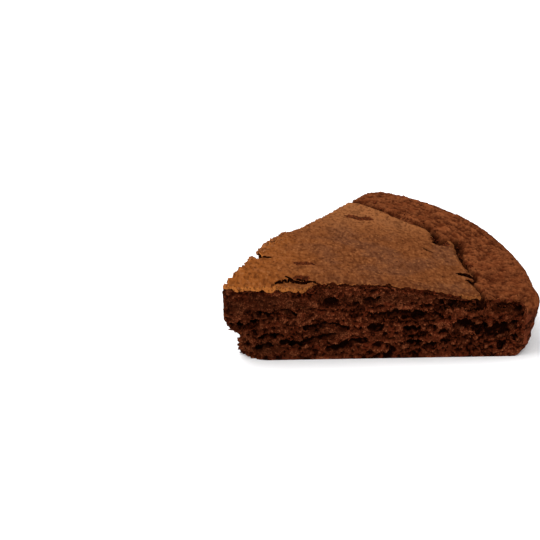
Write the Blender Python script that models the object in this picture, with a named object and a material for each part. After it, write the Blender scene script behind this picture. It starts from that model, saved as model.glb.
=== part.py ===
"""One slice of a round chocolate cake, as a single solid that stands on its flat base.

The shape is worked out in the plan of the pan that the cake was baked in, with the pan's axis at the
origin and the front cut along X. The side is a closed grid of upright columns that runs round the slice:
along the front cut from the tip, round the pan's wall, and back along the second cut. A triangulated top
and base close it. At the end the slice is moved so that the middle of its base lies at the origin.
"""

import math
import random

import bmesh
import bpy
from mathutils import Vector, noise
from mathutils.geometry import delaunay_2d_cdt

MM = 0.001
MERGE = 0.0001 * MM

# Plan of the two cuts, which meet at a tip that lies to one side of the pan's axis.
PAN_RADIUS = 115 * MM
FRONT_CUT_OFFSET = 30.6 * MM
TIP_X = 7.9 * MM
WEDGE_ANGLE = math.radians(64.65)

# Section of the pan's wall: a rounded foot, a side that leans out a little, and a rounded top edge.
RING_HEIGHT = 19.0 * MM
WALL_DRAFT = 1.6 * MM
WALL_FOOT_ROUND = 3.4 * MM
WALL_TOP_ROUND = 4.0 * MM
# A lobe is an angle round the pan, a half width in degrees, and how far the edge or surface swells there.
WALL_LOBES = (
    (-10.5, 5.0, 3.3 * MM),
    (34.0, 13.0, 1.3 * MM),
)
# The ring stands higher at the front corner and lower at the back one.
RING_LOBES = (
    (-17.0, 6.0, 1.1 * MM),
    (27.0, 13.0, 0.9 * MM),
    (57.0, 8.5, -2.6 * MM),
)

# The smooth crust is a low dome with a ragged round edge, which stands a little above the rough outer ring.
CRUST_RADIUS = 94.6 * MM
CRUST_EDGE_HEIGHT = 20.2 * MM
DOME_RISE = 7.3 * MM
DOME_LEAN = 0.047
DOME_POWER = 2.6
CRUST_LUMP = 0.18 * MM
CRUST_LUMP_SIZE = 14 * MM
CRUST_EDGE_RAGGEDNESS = 0.5 * MM
CRUST_EDGE_WAVES = 28.0
# The crust's edge drops to the ring over this width, into a crevice that lies just beyond it.
CRUST_EDGE_WIDTH = 0.9 * MM
CREVICE_DEPTH = 1.7 * MM
CREVICE_WIDTH = 1.5 * MM
CRUST_EDGE_LOBES = (
    (-19.0, 7.0, 5.2 * MM),
    (3.5, 8.0, -2.9 * MM),
    (21.5, 2.4, -2.3 * MM),
    (32.0, 3.2, 1.6 * MM),
    (54.0, 5.0, 2.8 * MM),
)

# The ring outside the crust has low concentric ridges.
RIDGE_SPACING = 5.2 * MM
RIDGE_HEIGHT = 0.28 * MM
RIDGE_WANDER = 1.3
RIDGE_WANDER_SIZE = 22 * MM
RING_LUMP = 0.45 * MM
RING_LUMP_SIZE = 4.5 * MM
RING_SLOPE = 0.055
# Past the ridges, the ring levels out over this width before it rounds over into the wall.
RIM_WIDTH = 4.0 * MM

# Near the tip the crust has sunk towards the front cut and split along a crack.
SLUMP_DROP = 4.6 * MM
SLUMP_REACH = 9.5 * MM
SLUMP_END_X = 39.5 * MM
SLUMP_FADE = 9.0 * MM
TIP_DROOP = 1.6 * MM
TIP_DROOP_REACH = 9.0 * MM
CRACK_DEPTH = 1.5 * MM
CRACK_WIDTH = 0.9 * MM
# Cracks and slits in the crust, as plan points.
CRUST_CRACKS = (
    ((25.4, -27.4), (29.5, -25.8), (31.3, -23.9), (33.2, -26.2), (38.6, -27.0)),
    ((32.9, -12.4), (38.4, -12.0)),
    ((56.9, 44.9), (59.4, 43.4), (62.5, 44.2)),
    ((80.1, 16.4), (81.2, 14.2), (83.4, 13.1)),
)

# The tip has crumbled away below, as heights and the depth of the bite there.
TIP_BITE = (
    (0.0, 10.4 * MM),
    (1.2 * MM, 8.8 * MM),
    (4.0 * MM, 7.0 * MM),
    (6.6 * MM, 7.8 * MM),
    (9.6 * MM, 5.4 * MM),
    (12.2 * MM, 2.6 * MM),
    (14.5 * MM, 0.9 * MM),
    (30.0 * MM, 0.1 * MM),
)
TIP_BITE_REACH = 16.0 * MM
TIP_BITE_FALL = 1.6

# The second cut tore a little, so it stands proud between these distances from the tip.
TEAR_BULGE = 2.7 * MM
TEAR_BULGE_SPAN = (2.0 * MM, 18.0 * MM, 50.0 * MM, 60.0 * MM)
TEAR_BULGE_AT_BASE = 0.35

# Holes in the front cut: distance from the tip, height, width, height of the hole and depth, in millimetres.
FRONT_HOLES = (
    (36.6, 20.4, 5.4, 3.4, 2.6),
    (26.0, 18.6, 2.6, 2.2, 1.6),
    (46.9, 18.4, 3.0, 2.2, 1.6),
    (58.2, 17.0, 3.2, 3.0, 1.8),
    (65.4, 15.6, 6.4, 3.4, 2.8),
    (75.4, 16.9, 2.4, 2.0, 1.2),
    (63.8, 10.0, 3.6, 1.8, 1.2),
    (81.5, 12.8, 3.4, 2.0, 1.5),
    (79.0, 9.0, 3.0, 2.0, 1.6),
    (75.6, 6.8, 2.4, 2.2, 1.3),
    (82.3, 6.1, 3.0, 2.6, 1.9),
    (93.7, 3.8, 1.9, 1.9, 1.4),
    (99.4, 16.4, 2.8, 2.4, 1.4),
)
# Tears in the front cut, as distances from the tip and heights in millimetres.
FRONT_TEARS = (
    ((27.1, 11.2), (34.6, 12.5), (42.9, 10.5)),
    ((26.1, 5.9), (34.5, 7.8), (38.2, 9.0)),
    ((30.5, 3.6), (36.2, 4.0), (42.3, 5.8)),
    ((5.9, 12.2), (10.0, 12.8), (13.6, 15.4)),
    ((46.3, 10.8), (50.3, 9.3), (57.1, 7.4)),
    ((50.0, 16.2), (60.0, 15.4), (70.0, 15.2)),
    ((88.0, 8.8), (94.0, 10.6), (100.2, 12.0)),
    ((17.0, 6.6), (23.4, 6.0)),
)
TEAR_DEPTH = 1.5 * MM
TEAR_WIDTH = 0.75 * MM
# A hole is full depth over the first share of its half width, and ends at the second.
HOLE_SHARES = (0.25, 0.75)

# The second cut's holes lie at random, in millimetres and from wide to narrow.
BACK_HOLES = 16
BACK_HOLE_WIDTHS = (4.6, 2.2)
BACK_HOLE_HEIGHTS = (3.0, 17.0)
BACK_HOLE_MARGIN = 8.0
BACK_HOLE_TALLNESS = 0.6
BACK_HOLE_DEEPNESS = 0.45

# Smaller pits and lumps lie all over both cuts, and lumps over the wall.
PIT_SIZE = 4.2 * MM
PIT_FLATNESS = 1.5
PIT_DEPTH = 0.95 * MM
PIT_SHARES = (0.12, 0.5)
CRUMB_LUMP = 0.45 * MM
CRUMB_LUMP_SIZE = 3.6 * MM
WALL_LUMP = 0.35 * MM
WALL_LUMP_SIZE = 5.2 * MM
EDGE_FADE = 2.2 * MM
BASE_FADE = 2.4 * MM
RIM_FADE = 2.0 * MM

# Each kind of relief reads its own part of the noise.
SEED_CRUST, SEED_CRUST_EDGE, SEED_RIDGES, SEED_RING = 1.3, 3.7, 5.1, 8.2
SEED_FRONT, SEED_BACK, SEED_WALL, SEED_BACK_HOLES = 2.6, 7.9, 4.4, 11

# Lengths of the triangles' sides.
FRONT_STEP = 1.45 * MM
BACK_STEP = 1.9 * MM
WALL_STEP = 2.9 * MM
CRUST_STEP = 3.3 * MM
RING_STEP = 2.3 * MM
RING_STEP_FROM = 88 * MM
CRUST_EDGE_STEP = 2.0 * MM
CRUST_EDGE_LINES = (-0.9 * MM, 0.6 * MM, 1.9 * MM)
CRACK_STEP = 1.3 * MM
CRACK_SIDE = 1.0 * MM
FIRST_RING = 20 * MM
CLOSEST = 0.9 * MM
MARGIN = 1.5 * MM
UPRIGHT_ROWS = 11
ROUND_ROWS = 3

CAKE_BROWN = (0.075, 0.018, 0.008, 1.0)
CAKE_ROUGHNESS = 0.85

TIP = Vector((TIP_X, -FRONT_CUT_OFFSET))
FRONT_DIRECTION = Vector((1.0, 0.0))
FRONT_OUTWARDS = Vector((0.0, -1.0))
BACK_DIRECTION = Vector((math.cos(WEDGE_ANGLE), math.sin(WEDGE_ANGLE)))
BACK_OUTWARDS = Vector((-BACK_DIRECTION.y, BACK_DIRECTION.x))
INTO_TIP = (FRONT_DIRECTION + BACK_DIRECTION).normalized()


def smooth(low, high, value):
    """0 below low, 1 above high, and a smooth rise between them."""
    share = min(max((value - low) / (high - low), 0.0), 1.0)
    return share * share * (3.0 - 2.0 * share)


def bell(distance, width):
    """1 at no distance, falling smoothly to nothing over a few widths."""
    return math.exp(-((distance / width) ** 2))


def at(angle, radius):
    """The plan point at this angle and distance from the pan's axis."""
    return Vector((math.cos(angle), math.sin(angle))) * radius


def waves(x, y, z, size, seed):
    """Smooth noise between about -1 and 1, whose bumps are of the given size."""
    return noise.noise(Vector((x / size + seed, y / size - seed, z / size)))


def distance_to_line(point, line):
    """Distance of a plan point from a bent line of plan points."""
    nearest = math.inf
    for start, end in zip(line, line[1:]):
        run = end - start
        share = min(max((point - start).dot(run) / run.length_squared, 0.0), 1.0)
        nearest = min(nearest, (start + run * share - point).length)
    return nearest


def as_points(line):
    """A line given in millimetres, as points."""
    return [Vector((x * MM, y * MM)) for x, y in line]


CRACK_LINES = [as_points(line) for line in CRUST_CRACKS]
FRONT_TEAR_LINES = [as_points(line) for line in FRONT_TEARS]


def swell(angle, lobes):
    """How far lobes swell an edge or surface at this angle round the pan."""
    degrees = math.degrees(angle)
    return sum(size * bell(degrees - centre, width) for centre, width, size in lobes)


def crust_edge_radius(angle):
    """How far the crust reaches from the pan's axis at this angle."""
    ragged = CRUST_EDGE_RAGGEDNESS * noise.noise(Vector((angle * CRUST_EDGE_WAVES, SEED_CRUST_EDGE, 0.0)))
    return CRUST_RADIUS + swell(angle, CRUST_EDGE_LOBES) + ragged


def rim_height(angle):
    """Height of the ring's outer edge at this angle."""
    return RING_HEIGHT + swell(angle, RING_LOBES)


def slump(x, y):
    """How far the crust has sunk at the tip and beside the front cut near it."""
    from_tip = (Vector((x, y)) - TIP).length
    across = 1.0 - smooth(0.0, SLUMP_REACH, y + FRONT_CUT_OFFSET)
    along = 1.0 - smooth(SLUMP_END_X - SLUMP_FADE, SLUMP_END_X, x)
    droop = bell(from_tip, TIP_DROOP_REACH)
    return SLUMP_DROP * across * along * (1.0 - 0.5 * droop) + TIP_DROOP * droop


def crust_height(x, y, radius, angle, edge):
    """Height of the smooth dome, with its lumps, its sunken tip and its cracks."""
    rise = DOME_RISE - DOME_LEAN * y
    inwards = 1.0 - min(radius / edge, 1.0) ** DOME_POWER
    dome = CRUST_EDGE_HEIGHT + swell(angle, RING_LOBES) * (1.0 - inwards) + rise * inwards
    crack = max(bell(distance_to_line(Vector((x, y)), line), CRACK_WIDTH) for line in CRACK_LINES)
    lumps = CRUST_LUMP * waves(x, y, 0.0, CRUST_LUMP_SIZE, SEED_CRUST)
    return dome - slump(x, y) + lumps - CRACK_DEPTH * crack


def ring_height(x, y, radius, angle):
    """Height of the rough outer ring, with its ridges, which rises a little towards the crust."""
    rim = PAN_RADIUS - WALL_TOP_ROUND
    rise = RING_SLOPE * (rim - radius)
    wander = RIDGE_WANDER * waves(x, y, 0.0, RIDGE_WANDER_SIZE, SEED_RIDGES)
    ridges = RIDGE_HEIGHT * math.sin(2.0 * math.pi * radius / RIDGE_SPACING + wander)
    lumps = RING_LUMP * waves(x, y, 0.0, RING_LUMP_SIZE, SEED_RING)
    rough = 1.0 - smooth(rim - RIM_WIDTH, rim, radius)
    return rim_height(angle) + (rise + ridges + lumps) * rough


def top_height(x, y):
    """Height of the baked top over a plan point."""
    radius, angle = math.hypot(x, y), math.atan2(y, x)
    edge = crust_edge_radius(angle)
    outside = radius - edge
    share = smooth(-CRUST_EDGE_WIDTH / 2, CRUST_EDGE_WIDTH / 2, outside)
    crust = crust_height(x, y, radius, angle, edge)
    crevice = CREVICE_DEPTH * bell(outside - CRUST_EDGE_WIDTH, CREVICE_WIDTH)
    ring = ring_height(x, y, radius, angle) - crevice
    return crust + (ring - crust) * share


def hole_depth(along, height, holes):
    """Depth of a cut's holes at this distance along it and height."""
    depth = 0.0
    for centre, middle, width, tall, deep in holes:
        off = math.hypot((along / MM - centre) / width, (height / MM - middle) / tall)
        depth = max(depth, deep * MM * (1.0 - smooth(*HOLE_SHARES, off)))
    return depth


def pit_depth(along, height, seed):
    """Depth of the small pits, one in each cell of a crumbly pattern, wider than they are tall."""
    place = Vector((along / PIT_SIZE, PIT_FLATNESS * height / PIT_SIZE, seed))
    nearest = noise.voronoi(place)[0][0]
    return PIT_DEPTH * (1.0 - smooth(*PIT_SHARES, nearest))


def crumb_relief(along, height, holes, tears, seed):
    """How far a cut's open crumb stands out of its plane."""
    place = Vector((along, height))
    tear = max((bell(distance_to_line(place, line), TEAR_WIDTH) for line in tears), default=0.0)
    hollow = max(hole_depth(along, height, holes), TEAR_DEPTH * tear)
    lumps = CRUMB_LUMP * waves(along, height, 0.0, CRUMB_LUMP_SIZE, seed)
    return lumps - max(hollow, pit_depth(along, height, seed))


def back_holes(length):
    """Holes spread over the second cut, with the larger ones first."""
    draw = random.Random(SEED_BACK_HOLES)
    widest, narrowest = BACK_HOLE_WIDTHS
    holes = []
    for number in range(BACK_HOLES):
        along = draw.uniform(BACK_HOLE_MARGIN, length / MM - BACK_HOLE_MARGIN)
        height = draw.uniform(*BACK_HOLE_HEIGHTS)
        wide = widest + (narrowest - widest) * number / BACK_HOLES
        holes.append((along, height, wide, wide * BACK_HOLE_TALLNESS, wide * BACK_HOLE_DEEPNESS))
    return holes


def back_cut_length(radius):
    """Distance along the second cut from the tip to the circle of this radius."""
    along = TIP.dot(BACK_DIRECTION)
    return -along + math.sqrt(along * along - TIP.length_squared + radius * radius)


def corner_angles(radius):
    """Angles round the pan at which the two cuts cross the circle of this radius."""
    back = TIP + BACK_DIRECTION * back_cut_length(radius)
    return -math.asin(FRONT_CUT_OFFSET / radius), math.atan2(back.y, back.x)


def quarter(centre_radius, centre_height, size, start):
    """Points of a quarter circle in the wall's section, from an angle that is a multiple of 90 degrees."""
    points = []
    for step in range(ROUND_ROWS + 1):
        turn = math.radians(start + 90.0 * step / ROUND_ROWS)
        points.append((centre_radius + size * math.cos(turn), centre_height + size * math.sin(turn)))
    return points


def wall_section():
    """The wall's section as radius and height, from the foot to the ring."""
    foot = quarter(PAN_RADIUS - WALL_DRAFT - WALL_FOOT_ROUND, WALL_FOOT_ROUND, WALL_FOOT_ROUND, -90.0)
    top = quarter(PAN_RADIUS - WALL_TOP_ROUND, RING_HEIGHT - WALL_TOP_ROUND, WALL_TOP_ROUND, 0.0)
    low, high = foot[-1], top[0]
    side = []
    for step in range(1, UPRIGHT_ROWS):
        share = step / UPRIGHT_ROWS
        side.append((low[0] + (high[0] - low[0]) * share, low[1] + (high[1] - low[1]) * share))
    return foot + side + top


SECTION = wall_section()
BACK_LENGTH = back_cut_length(PAN_RADIUS)
BACK_HOLE_LIST = back_holes(BACK_LENGTH)


def bite(height):
    """Depth of the bite out of the tip at this height."""
    for (low, at_low), (high, at_high) in zip(TIP_BITE, TIP_BITE[1:]):
        if height <= high:
            return at_low + (at_high - at_low) * (height - low) / (high - low)
    return TIP_BITE[-1][1]


def bitten(point, from_tip, height):
    """A side point moved into the cake where the tip has crumbled."""
    near = max(0.0, 1.0 - from_tip / TIP_BITE_REACH) ** TIP_BITE_FALL
    return point + INTO_TIP * bite(height) * near


def edge_share(along, length):
    """1 on a cut's middle, falling to 0 at its two upright edges."""
    return smooth(0.0, EDGE_FADE, along) * smooth(0.0, EDGE_FADE, length - along)


def front_point(share, radius, height):
    """Plan point on the front cut."""
    length = math.sqrt(radius**2 - FRONT_CUT_OFFSET**2) - TIP_X
    along = share * length
    relief = crumb_relief(along, height, FRONT_HOLES, FRONT_TEAR_LINES, SEED_FRONT)
    relief *= edge_share(along, length) * smooth(0.0, BASE_FADE, height)
    point = TIP + FRONT_DIRECTION * along + FRONT_OUTWARDS * relief
    return bitten(point, along, height)


def back_point(share, radius, height):
    """Plan point on the second cut."""
    length = back_cut_length(radius)
    along = share * length
    rise, full, fall, end = TEAR_BULGE_SPAN
    bulge = TEAR_BULGE * smooth(rise, full, along) * (1.0 - smooth(fall, end, along))
    risen = height / (RING_HEIGHT + DOME_RISE)
    bulge *= TEAR_BULGE_AT_BASE + (1.0 - TEAR_BULGE_AT_BASE) * risen
    relief = crumb_relief(along, height, BACK_HOLE_LIST, (), SEED_BACK)
    relief *= edge_share(along, length) * smooth(0.0, BASE_FADE, height)
    point = TIP + BACK_DIRECTION * along + BACK_OUTWARDS * (bulge + relief)
    return bitten(point, along, height)


def wall_point(share, radius, height):
    """Plan point on the pan's wall."""
    first, last = corner_angles(radius)
    angle = first + (last - first) * share
    length = (last - first) * PAN_RADIUS
    lump = WALL_LUMP * waves(share * length, 0.0, height, WALL_LUMP_SIZE, SEED_WALL)
    lump *= smooth(0.0, BASE_FADE, height) * (1.0 - smooth(RING_HEIGHT - RIM_FADE, RING_HEIGHT, height))
    bulge = swell(angle, WALL_LOBES) * (1.0 + min(height / RING_HEIGHT, 1.0)) / 2
    return at(angle, radius + (lump + bulge) * edge_share(share * length, length))


def column(shape, share):
    """One upright column of side points, from the base to the top."""
    top_radius = SECTION[-1][0]
    plan = shape(share, top_radius, RING_HEIGHT)
    top = top_height(plan.x, plan.y)
    points = []
    for radius, height in SECTION:
        z = top * height / RING_HEIGHT
        plan = shape(share, radius, z)
        points.append(Vector((plan.x, plan.y, z)))
    return points


def side_columns():
    """All columns round the slice, from the tip along the front cut, with none repeated."""
    first, last = corner_angles(PAN_RADIUS)
    runs = (
        (front_point, PAN_RADIUS - TIP_X, FRONT_STEP, False),
        (wall_point, PAN_RADIUS * (last - first), WALL_STEP, False),
        (back_point, BACK_LENGTH, BACK_STEP, True),
    )
    columns = []
    for shape, length, step, backwards in runs:
        count = round(length / step)
        for number in range(count):
            share = number / count
            columns.append(column(shape, 1.0 - share if backwards else share))
    return columns


def inside(point):
    """Whether a plan point lies inside the slice by the margin."""
    from_tip = point - TIP
    from_back = -from_tip.dot(BACK_OUTWARDS)
    from_wall = SECTION[-1][0] + swell(math.atan2(point.y, point.x), WALL_LOBES) - point.length
    return min(point.y + FRONT_CUT_OFFSET, from_back, from_wall) > MARGIN


def angles_round(radius, step, offset):
    """Angles all round the pan, a step apart at this radius and turned by a share of the step."""
    count = round(2.0 * math.pi * radius / step)
    return [2.0 * math.pi * (number + offset) / count - math.pi for number in range(count)]


def crack_points():
    """Plan points along each crack and on both its sides."""
    points = []
    for line in CRACK_LINES:
        for start, end in zip(line, line[1:]):
            across = Vector((start.y - end.y, end.x - start.x)).normalized() * CRACK_SIDE
            count = max(1, round((end - start).length / CRACK_STEP))
            for step in range(count):
                middle = start + (end - start) * step / count
                points += [middle, middle + across, middle - across]
    return points


def top_inner_points():
    """Points inside the top's outline: level rings, lines beside the crust's edge, and the cracks."""
    found = []
    for beyond in CRUST_EDGE_LINES:
        for angle in angles_round(CRUST_RADIUS, CRUST_EDGE_STEP, 0.0):
            found.append(at(angle, crust_edge_radius(angle) + beyond))
    found += crack_points()
    radius, offset = FIRST_RING, 0.0
    while radius < PAN_RADIUS:
        step = CRUST_STEP if radius < RING_STEP_FROM else RING_STEP
        found += [at(angle, radius) for angle in angles_round(radius, step, offset)]
        radius += step * math.sqrt(3.0) / 2.0
        offset = 0.5 - offset
    kept = []
    for point in found:
        if inside(point) and all((point - other).length > CLOSEST for other in kept):
            kept.append(point)
    return kept


def cap(mesh, outline, inner, height):
    """Triangles over a closed outline of the mesh's points and further points inside it."""
    plan = [point.co.xy for point in outline]
    loop = list(range(len(outline)))
    edges = list(zip(loop, loop[1:] + loop[:1]))
    keep_inside = 1
    placed, _, faces, sources, _, _ = delaunay_2d_cdt(
        plan + inner, edges, [loop], keep_inside, MERGE
    )
    corners = []
    for point, source in zip(placed, sources):
        known = [number for number in source if number < len(outline)]
        if known:
            corners.append(outline[known[0]])
        else:
            corners.append(mesh.verts.new((point.x, point.y, height(point.x, point.y))))
    for face in faces:
        mesh.faces.new([corners[number] for number in face])


def slice_mesh():
    """The closed surface of the slice, in the plan of the pan."""
    mesh = bmesh.new()
    grid = [[mesh.verts.new(point) for point in line] for line in side_columns()]
    for first, second in zip(grid, grid[1:] + grid[:1]):
        for row in range(len(SECTION) - 1):
            mesh.faces.new((first[row], second[row], second[row + 1], first[row + 1]))
    cap(mesh, [line[-1] for line in grid], top_inner_points(), top_height)
    cap(mesh, [line[0] for line in grid], [], lambda x, y: 0.0)
    bmesh.ops.triangulate(mesh, faces=[face for face in mesh.faces if len(face.verts) > 3])
    bmesh.ops.recalc_face_normals(mesh, faces=mesh.faces[:])
    return mesh


def centred(mesh):
    """Moves the slice so that the middle of its base is the origin."""
    places = [vertex.co for vertex in mesh.verts]
    middle_x = (min(place.x for place in places) + max(place.x for place in places)) / 2
    middle_y = (min(place.y for place in places) + max(place.y for place in places)) / 2
    bmesh.ops.translate(mesh, verts=mesh.verts[:], vec=(-middle_x, -middle_y, 0.0))
    print(f"The pan's axis is at x {-middle_x / MM:.2f} mm and y {-middle_y / MM:.2f} mm")


def cake_material():
    material = bpy.data.materials.new("chocolate_cake")
    material.use_nodes = True
    shader = material.node_tree.nodes["Principled BSDF"]
    shader.inputs["Base Color"].default_value = CAKE_BROWN
    shader.inputs["Roughness"].default_value = CAKE_ROUGHNESS
    shader.inputs["Metallic"].default_value = 0.0
    return material


def main():
    for old in list(bpy.data.objects):
        bpy.data.objects.remove(old)
    surface = slice_mesh()
    centred(surface)
    data = bpy.data.meshes.new("cake_slice")
    surface.to_mesh(data)
    surface.free()
    data.materials.append(cake_material())
    cake = bpy.data.objects.new("cake_slice", data)
    bpy.context.scene.collection.objects.link(cake)


main()
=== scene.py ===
# %% [markdown]
# # A slice of plain chocolate cake
#
# This lesson dresses one wedge of baked chocolate cake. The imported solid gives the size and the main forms.
# Here it is replaced by four finer pieces, as a baker would name them: the open crumb that the knife laid
# bare, the smooth crust of the dome, the rough rind of the ring and the side, and the loose crumbs that
# cling to the cuts.

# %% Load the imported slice
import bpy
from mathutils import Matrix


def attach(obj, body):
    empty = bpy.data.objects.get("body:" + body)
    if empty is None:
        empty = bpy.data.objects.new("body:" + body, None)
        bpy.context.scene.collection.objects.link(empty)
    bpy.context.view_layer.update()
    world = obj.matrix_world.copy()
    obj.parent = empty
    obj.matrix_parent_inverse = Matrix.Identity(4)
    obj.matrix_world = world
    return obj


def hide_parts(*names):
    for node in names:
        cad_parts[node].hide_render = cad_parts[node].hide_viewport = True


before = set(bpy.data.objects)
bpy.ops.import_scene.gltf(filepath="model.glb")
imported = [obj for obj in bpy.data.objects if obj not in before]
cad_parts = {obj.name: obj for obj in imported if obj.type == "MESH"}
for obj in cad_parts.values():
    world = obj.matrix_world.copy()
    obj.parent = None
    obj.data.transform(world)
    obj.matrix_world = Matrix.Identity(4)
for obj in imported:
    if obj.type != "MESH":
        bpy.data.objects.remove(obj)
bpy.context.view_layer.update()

# %% [markdown]
# ## The plan of the cake
#
# All the pieces are worked out round the axis of the pan that the cake was baked in, because its dome, its
# ring and its side are round about that axis. The two cuts are upright planes that meet at a tip beside the
# axis. Lengths are in metres, so a size in millimetres is written with MM.

# %% The pan, the two cuts and a few curves
import math
import random

import bmesh
import bpy
import numpy as np
from mathutils import Matrix, Vector, noise

MM = 0.001
PAN_AXIS = Vector((-62.19, -31.35, 0.0)) * MM
PAN_RADIUS = 115 * MM
FRONT_CUT_OFFSET = 30.6 * MM
TIP = Vector((7.9 * MM, -FRONT_CUT_OFFSET, 0.0))
WEDGE_ANGLE = math.radians(64.65)
FRONT_ALONG = Vector((1.0, 0.0, 0.0))
FRONT_OUT = Vector((0.0, -1.0, 0.0))
BACK_ALONG = Vector((math.cos(WEDGE_ANGLE), math.sin(WEDGE_ANGLE), 0.0))
BACK_OUT = Vector((-BACK_ALONG.y, BACK_ALONG.x, 0.0))
INTO_TIP = (FRONT_ALONG + BACK_ALONG).normalized()
UP = Vector((0.0, 0.0, 1.0))
# Noise that gives vectors starts from the clock unless it is given a seed.
NOISE_SEED = 3
noise.seed_set(NOISE_SEED)


def smooth(low, high, value):
    """0 below low, 1 above high, and a smooth rise between them."""
    share = min(max((value - low) / (high - low), 0.0), 1.0)
    return share * share * (3.0 - 2.0 * share)


def bell(distance, width):
    """1 at no distance, falling smoothly to nothing over a few widths."""
    return math.exp(-((distance / width) ** 2))


def bumps(x, y, size, seed):
    """Smooth noise over the plan between about -1 and 1, whose bumps are of the given size."""
    return noise.noise(Vector((x / size + seed, y / size - seed, 2.0 * seed)))


def layered(x, y, layers, seed=0.0):
    """Layers of smooth noise added up. Each has a height, the size of its bumps and a seed of its own."""
    return sum(height * bumps(x, y, size, seed + own_seed) for height, size, own_seed in layers)


def cell_pattern(place, spread):
    """A random pattern of cells: the distances to the two nearest centres, and a chance for the cell."""
    near, centres = noise.voronoi(place)
    return near[0], near[1], noise.cell(centres[0] * spread)


def distance_to_line(x, y, line):
    """Distance of a point from a bent line of points."""
    nearest = math.inf
    for (x0, y0), (x1, y1) in zip(line, line[1:]):
        run_x, run_y = x1 - x0, y1 - y0
        share = ((x - x0) * run_x + (y - y0) * run_y) / (run_x**2 + run_y**2)
        share = min(max(share, 0.0), 1.0)
        nearest = min(nearest, math.hypot(x0 + run_x * share - x, y0 + run_y * share - y))
    return nearest


def in_metres(line):
    """A line of points given in millimetres."""
    return [(x * MM, y * MM) for x, y in line]


def behind(place, outwards):
    """How far a point lies behind one of the cuts, inside the cake."""
    return -(place - TIP).dot(outwards)


print("The tip lies", round(TIP.length / MM, 1), "mm from the pan's axis")

# %% [markdown]
# ## The camera
#
# The photograph looks down on the slice by about twenty degrees, with the front cut almost square to the
# view. Its perspective is slight, so the lens is long and the camera stands back.

# %% Set the camera up
AIM = PAN_AXIS + Vector((27.7, 55.8, 0.0)) * MM
CAMERA_DISTANCE = 900 * MM
CAMERA_HEIGHT_ANGLE = math.radians(20.63)
CAMERA_HEADING = math.radians(2.549)
LENS = 161.8
SENSOR = 36.0


def add_camera():
    """Adds the photograph's camera and makes it the scene's."""
    level = Vector((math.sin(CAMERA_HEADING), math.cos(CAMERA_HEADING), 0.0))
    looks = level * math.cos(CAMERA_HEIGHT_ANGLE) - UP * math.sin(CAMERA_HEIGHT_ANGLE)
    turn = (math.pi / 2 - CAMERA_HEIGHT_ANGLE, 0.0, -CAMERA_HEADING)
    bpy.ops.object.camera_add(location=AIM - looks * CAMERA_DISTANCE, rotation=turn)
    camera = bpy.context.object
    camera.data.sensor_width = SENSOR
    camera.data.lens = LENS
    camera.data.clip_start = 0.01
    bpy.context.scene.camera = camera
    return camera


camera = add_camera()
print("The camera stands at", [round(place / MM) for place in camera.location], "mm")

# %% [markdown]
# ## The table and the light
#
# The slice was photographed on white under soft light from all round, stronger from above and from the
# left. A white sky gives the first part and broad lamps the rest. The view transform is the plain one, so
# that the white ground stays white and the browns keep their colour.

# %% Lay the table and hang the lamps
FLOOR_SIZE = 6.0
FLOOR_WHITE = (0.985, 0.985, 0.99, 1.0)
SKY_STRENGTH = 0.95
# Each lamp: its place in metres from the slice, its width and its power in watts.
LAMPS = (
    ("top_lamp", (-0.45, 0.35, 1.25), 0.9, 11.0),
    ("left_lamp", (-1.1, -0.45, 0.8), 0.7, 4.0),
    ("front_lamp", (0.5, -1.4, 0.7), 0.9, 5.0),
)


def lay_table():
    """Adds the white table that the slice stands on."""
    bpy.ops.mesh.primitive_plane_add(size=FLOOR_SIZE)
    table = bpy.context.object
    table.name = "white_table"
    white = bpy.data.materials.new("white_table")
    white.use_nodes = True
    shader = white.node_tree.nodes["Principled BSDF"]
    shader.inputs["Base Color"].default_value = FLOOR_WHITE
    shader.inputs["Roughness"].default_value = 0.9
    table.data.materials.append(white)


def hang_lamps():
    """Adds the white sky and the broad lamps, each turned to the slice."""
    world = bpy.data.worlds.new("white_sky")
    world.use_nodes = True
    world.node_tree.nodes["Background"].inputs["Color"].default_value = (1.0, 1.0, 1.0, 1.0)
    world.node_tree.nodes["Background"].inputs["Strength"].default_value = SKY_STRENGTH
    bpy.context.scene.world = world
    for name, place, width, power in LAMPS:
        turn = Vector(place).to_track_quat("Z", "Y").to_euler()
        bpy.ops.object.light_add(type="AREA", location=place, rotation=turn)
        lamp = bpy.context.object
        lamp.name = name
        lamp.data.size = width
        lamp.data.energy = power


lay_table()
hang_lamps()
bpy.context.scene.view_settings.view_transform = "Standard"
print("Lamps:", [name for name, *_ in LAMPS])

# %% [markdown]
# ## Hand tools
#
# A few habits of modelling by hand are written as small helpers: deselect everything before a step, apply a
# modifier as soon as it has done its work, choose faces by where they lie, and move a mesh's points
# together, as a sculptor's brush does.

# %% Helpers for modelling
def pick(*pieces):
    """Selects these pieces only and makes the first one active."""
    bpy.ops.object.select_all(action="DESELECT")
    for piece in pieces:
        piece.select_set(True)
    bpy.context.view_layer.objects.active = pieces[0]


def new_piece(name, points, edges):
    """A piece that starts as a few points and the edges between them."""
    mesh = bpy.data.meshes.new(name)
    mesh.from_pydata(points, edges, [])
    piece = bpy.data.objects.new(name, mesh)
    bpy.context.scene.collection.objects.link(piece)
    pick(piece)
    return piece


def join(pieces):
    """Joins pieces into one."""
    pick(*pieces)
    bpy.ops.object.join()
    return bpy.context.object


def finish_with(piece, kind, **settings):
    """Adds a modifier with these settings and applies it."""
    pick(piece)
    modifier = piece.modifiers.new(kind.lower(), kind)
    for name, value in settings.items():
        setattr(modifier, name, value)
    bpy.ops.object.modifier_apply(modifier=modifier.name)


def points_of(piece):
    """The places of a piece's points."""
    return [point.co.copy() for point in piece.data.vertices]


def put_points(piece, places):
    """Moves a piece's points to these places."""
    flat = np.asarray([tuple(place) for place in places], np.float32).ravel()
    piece.data.vertices.foreach_set("co", flat)
    piece.data.update()


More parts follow.
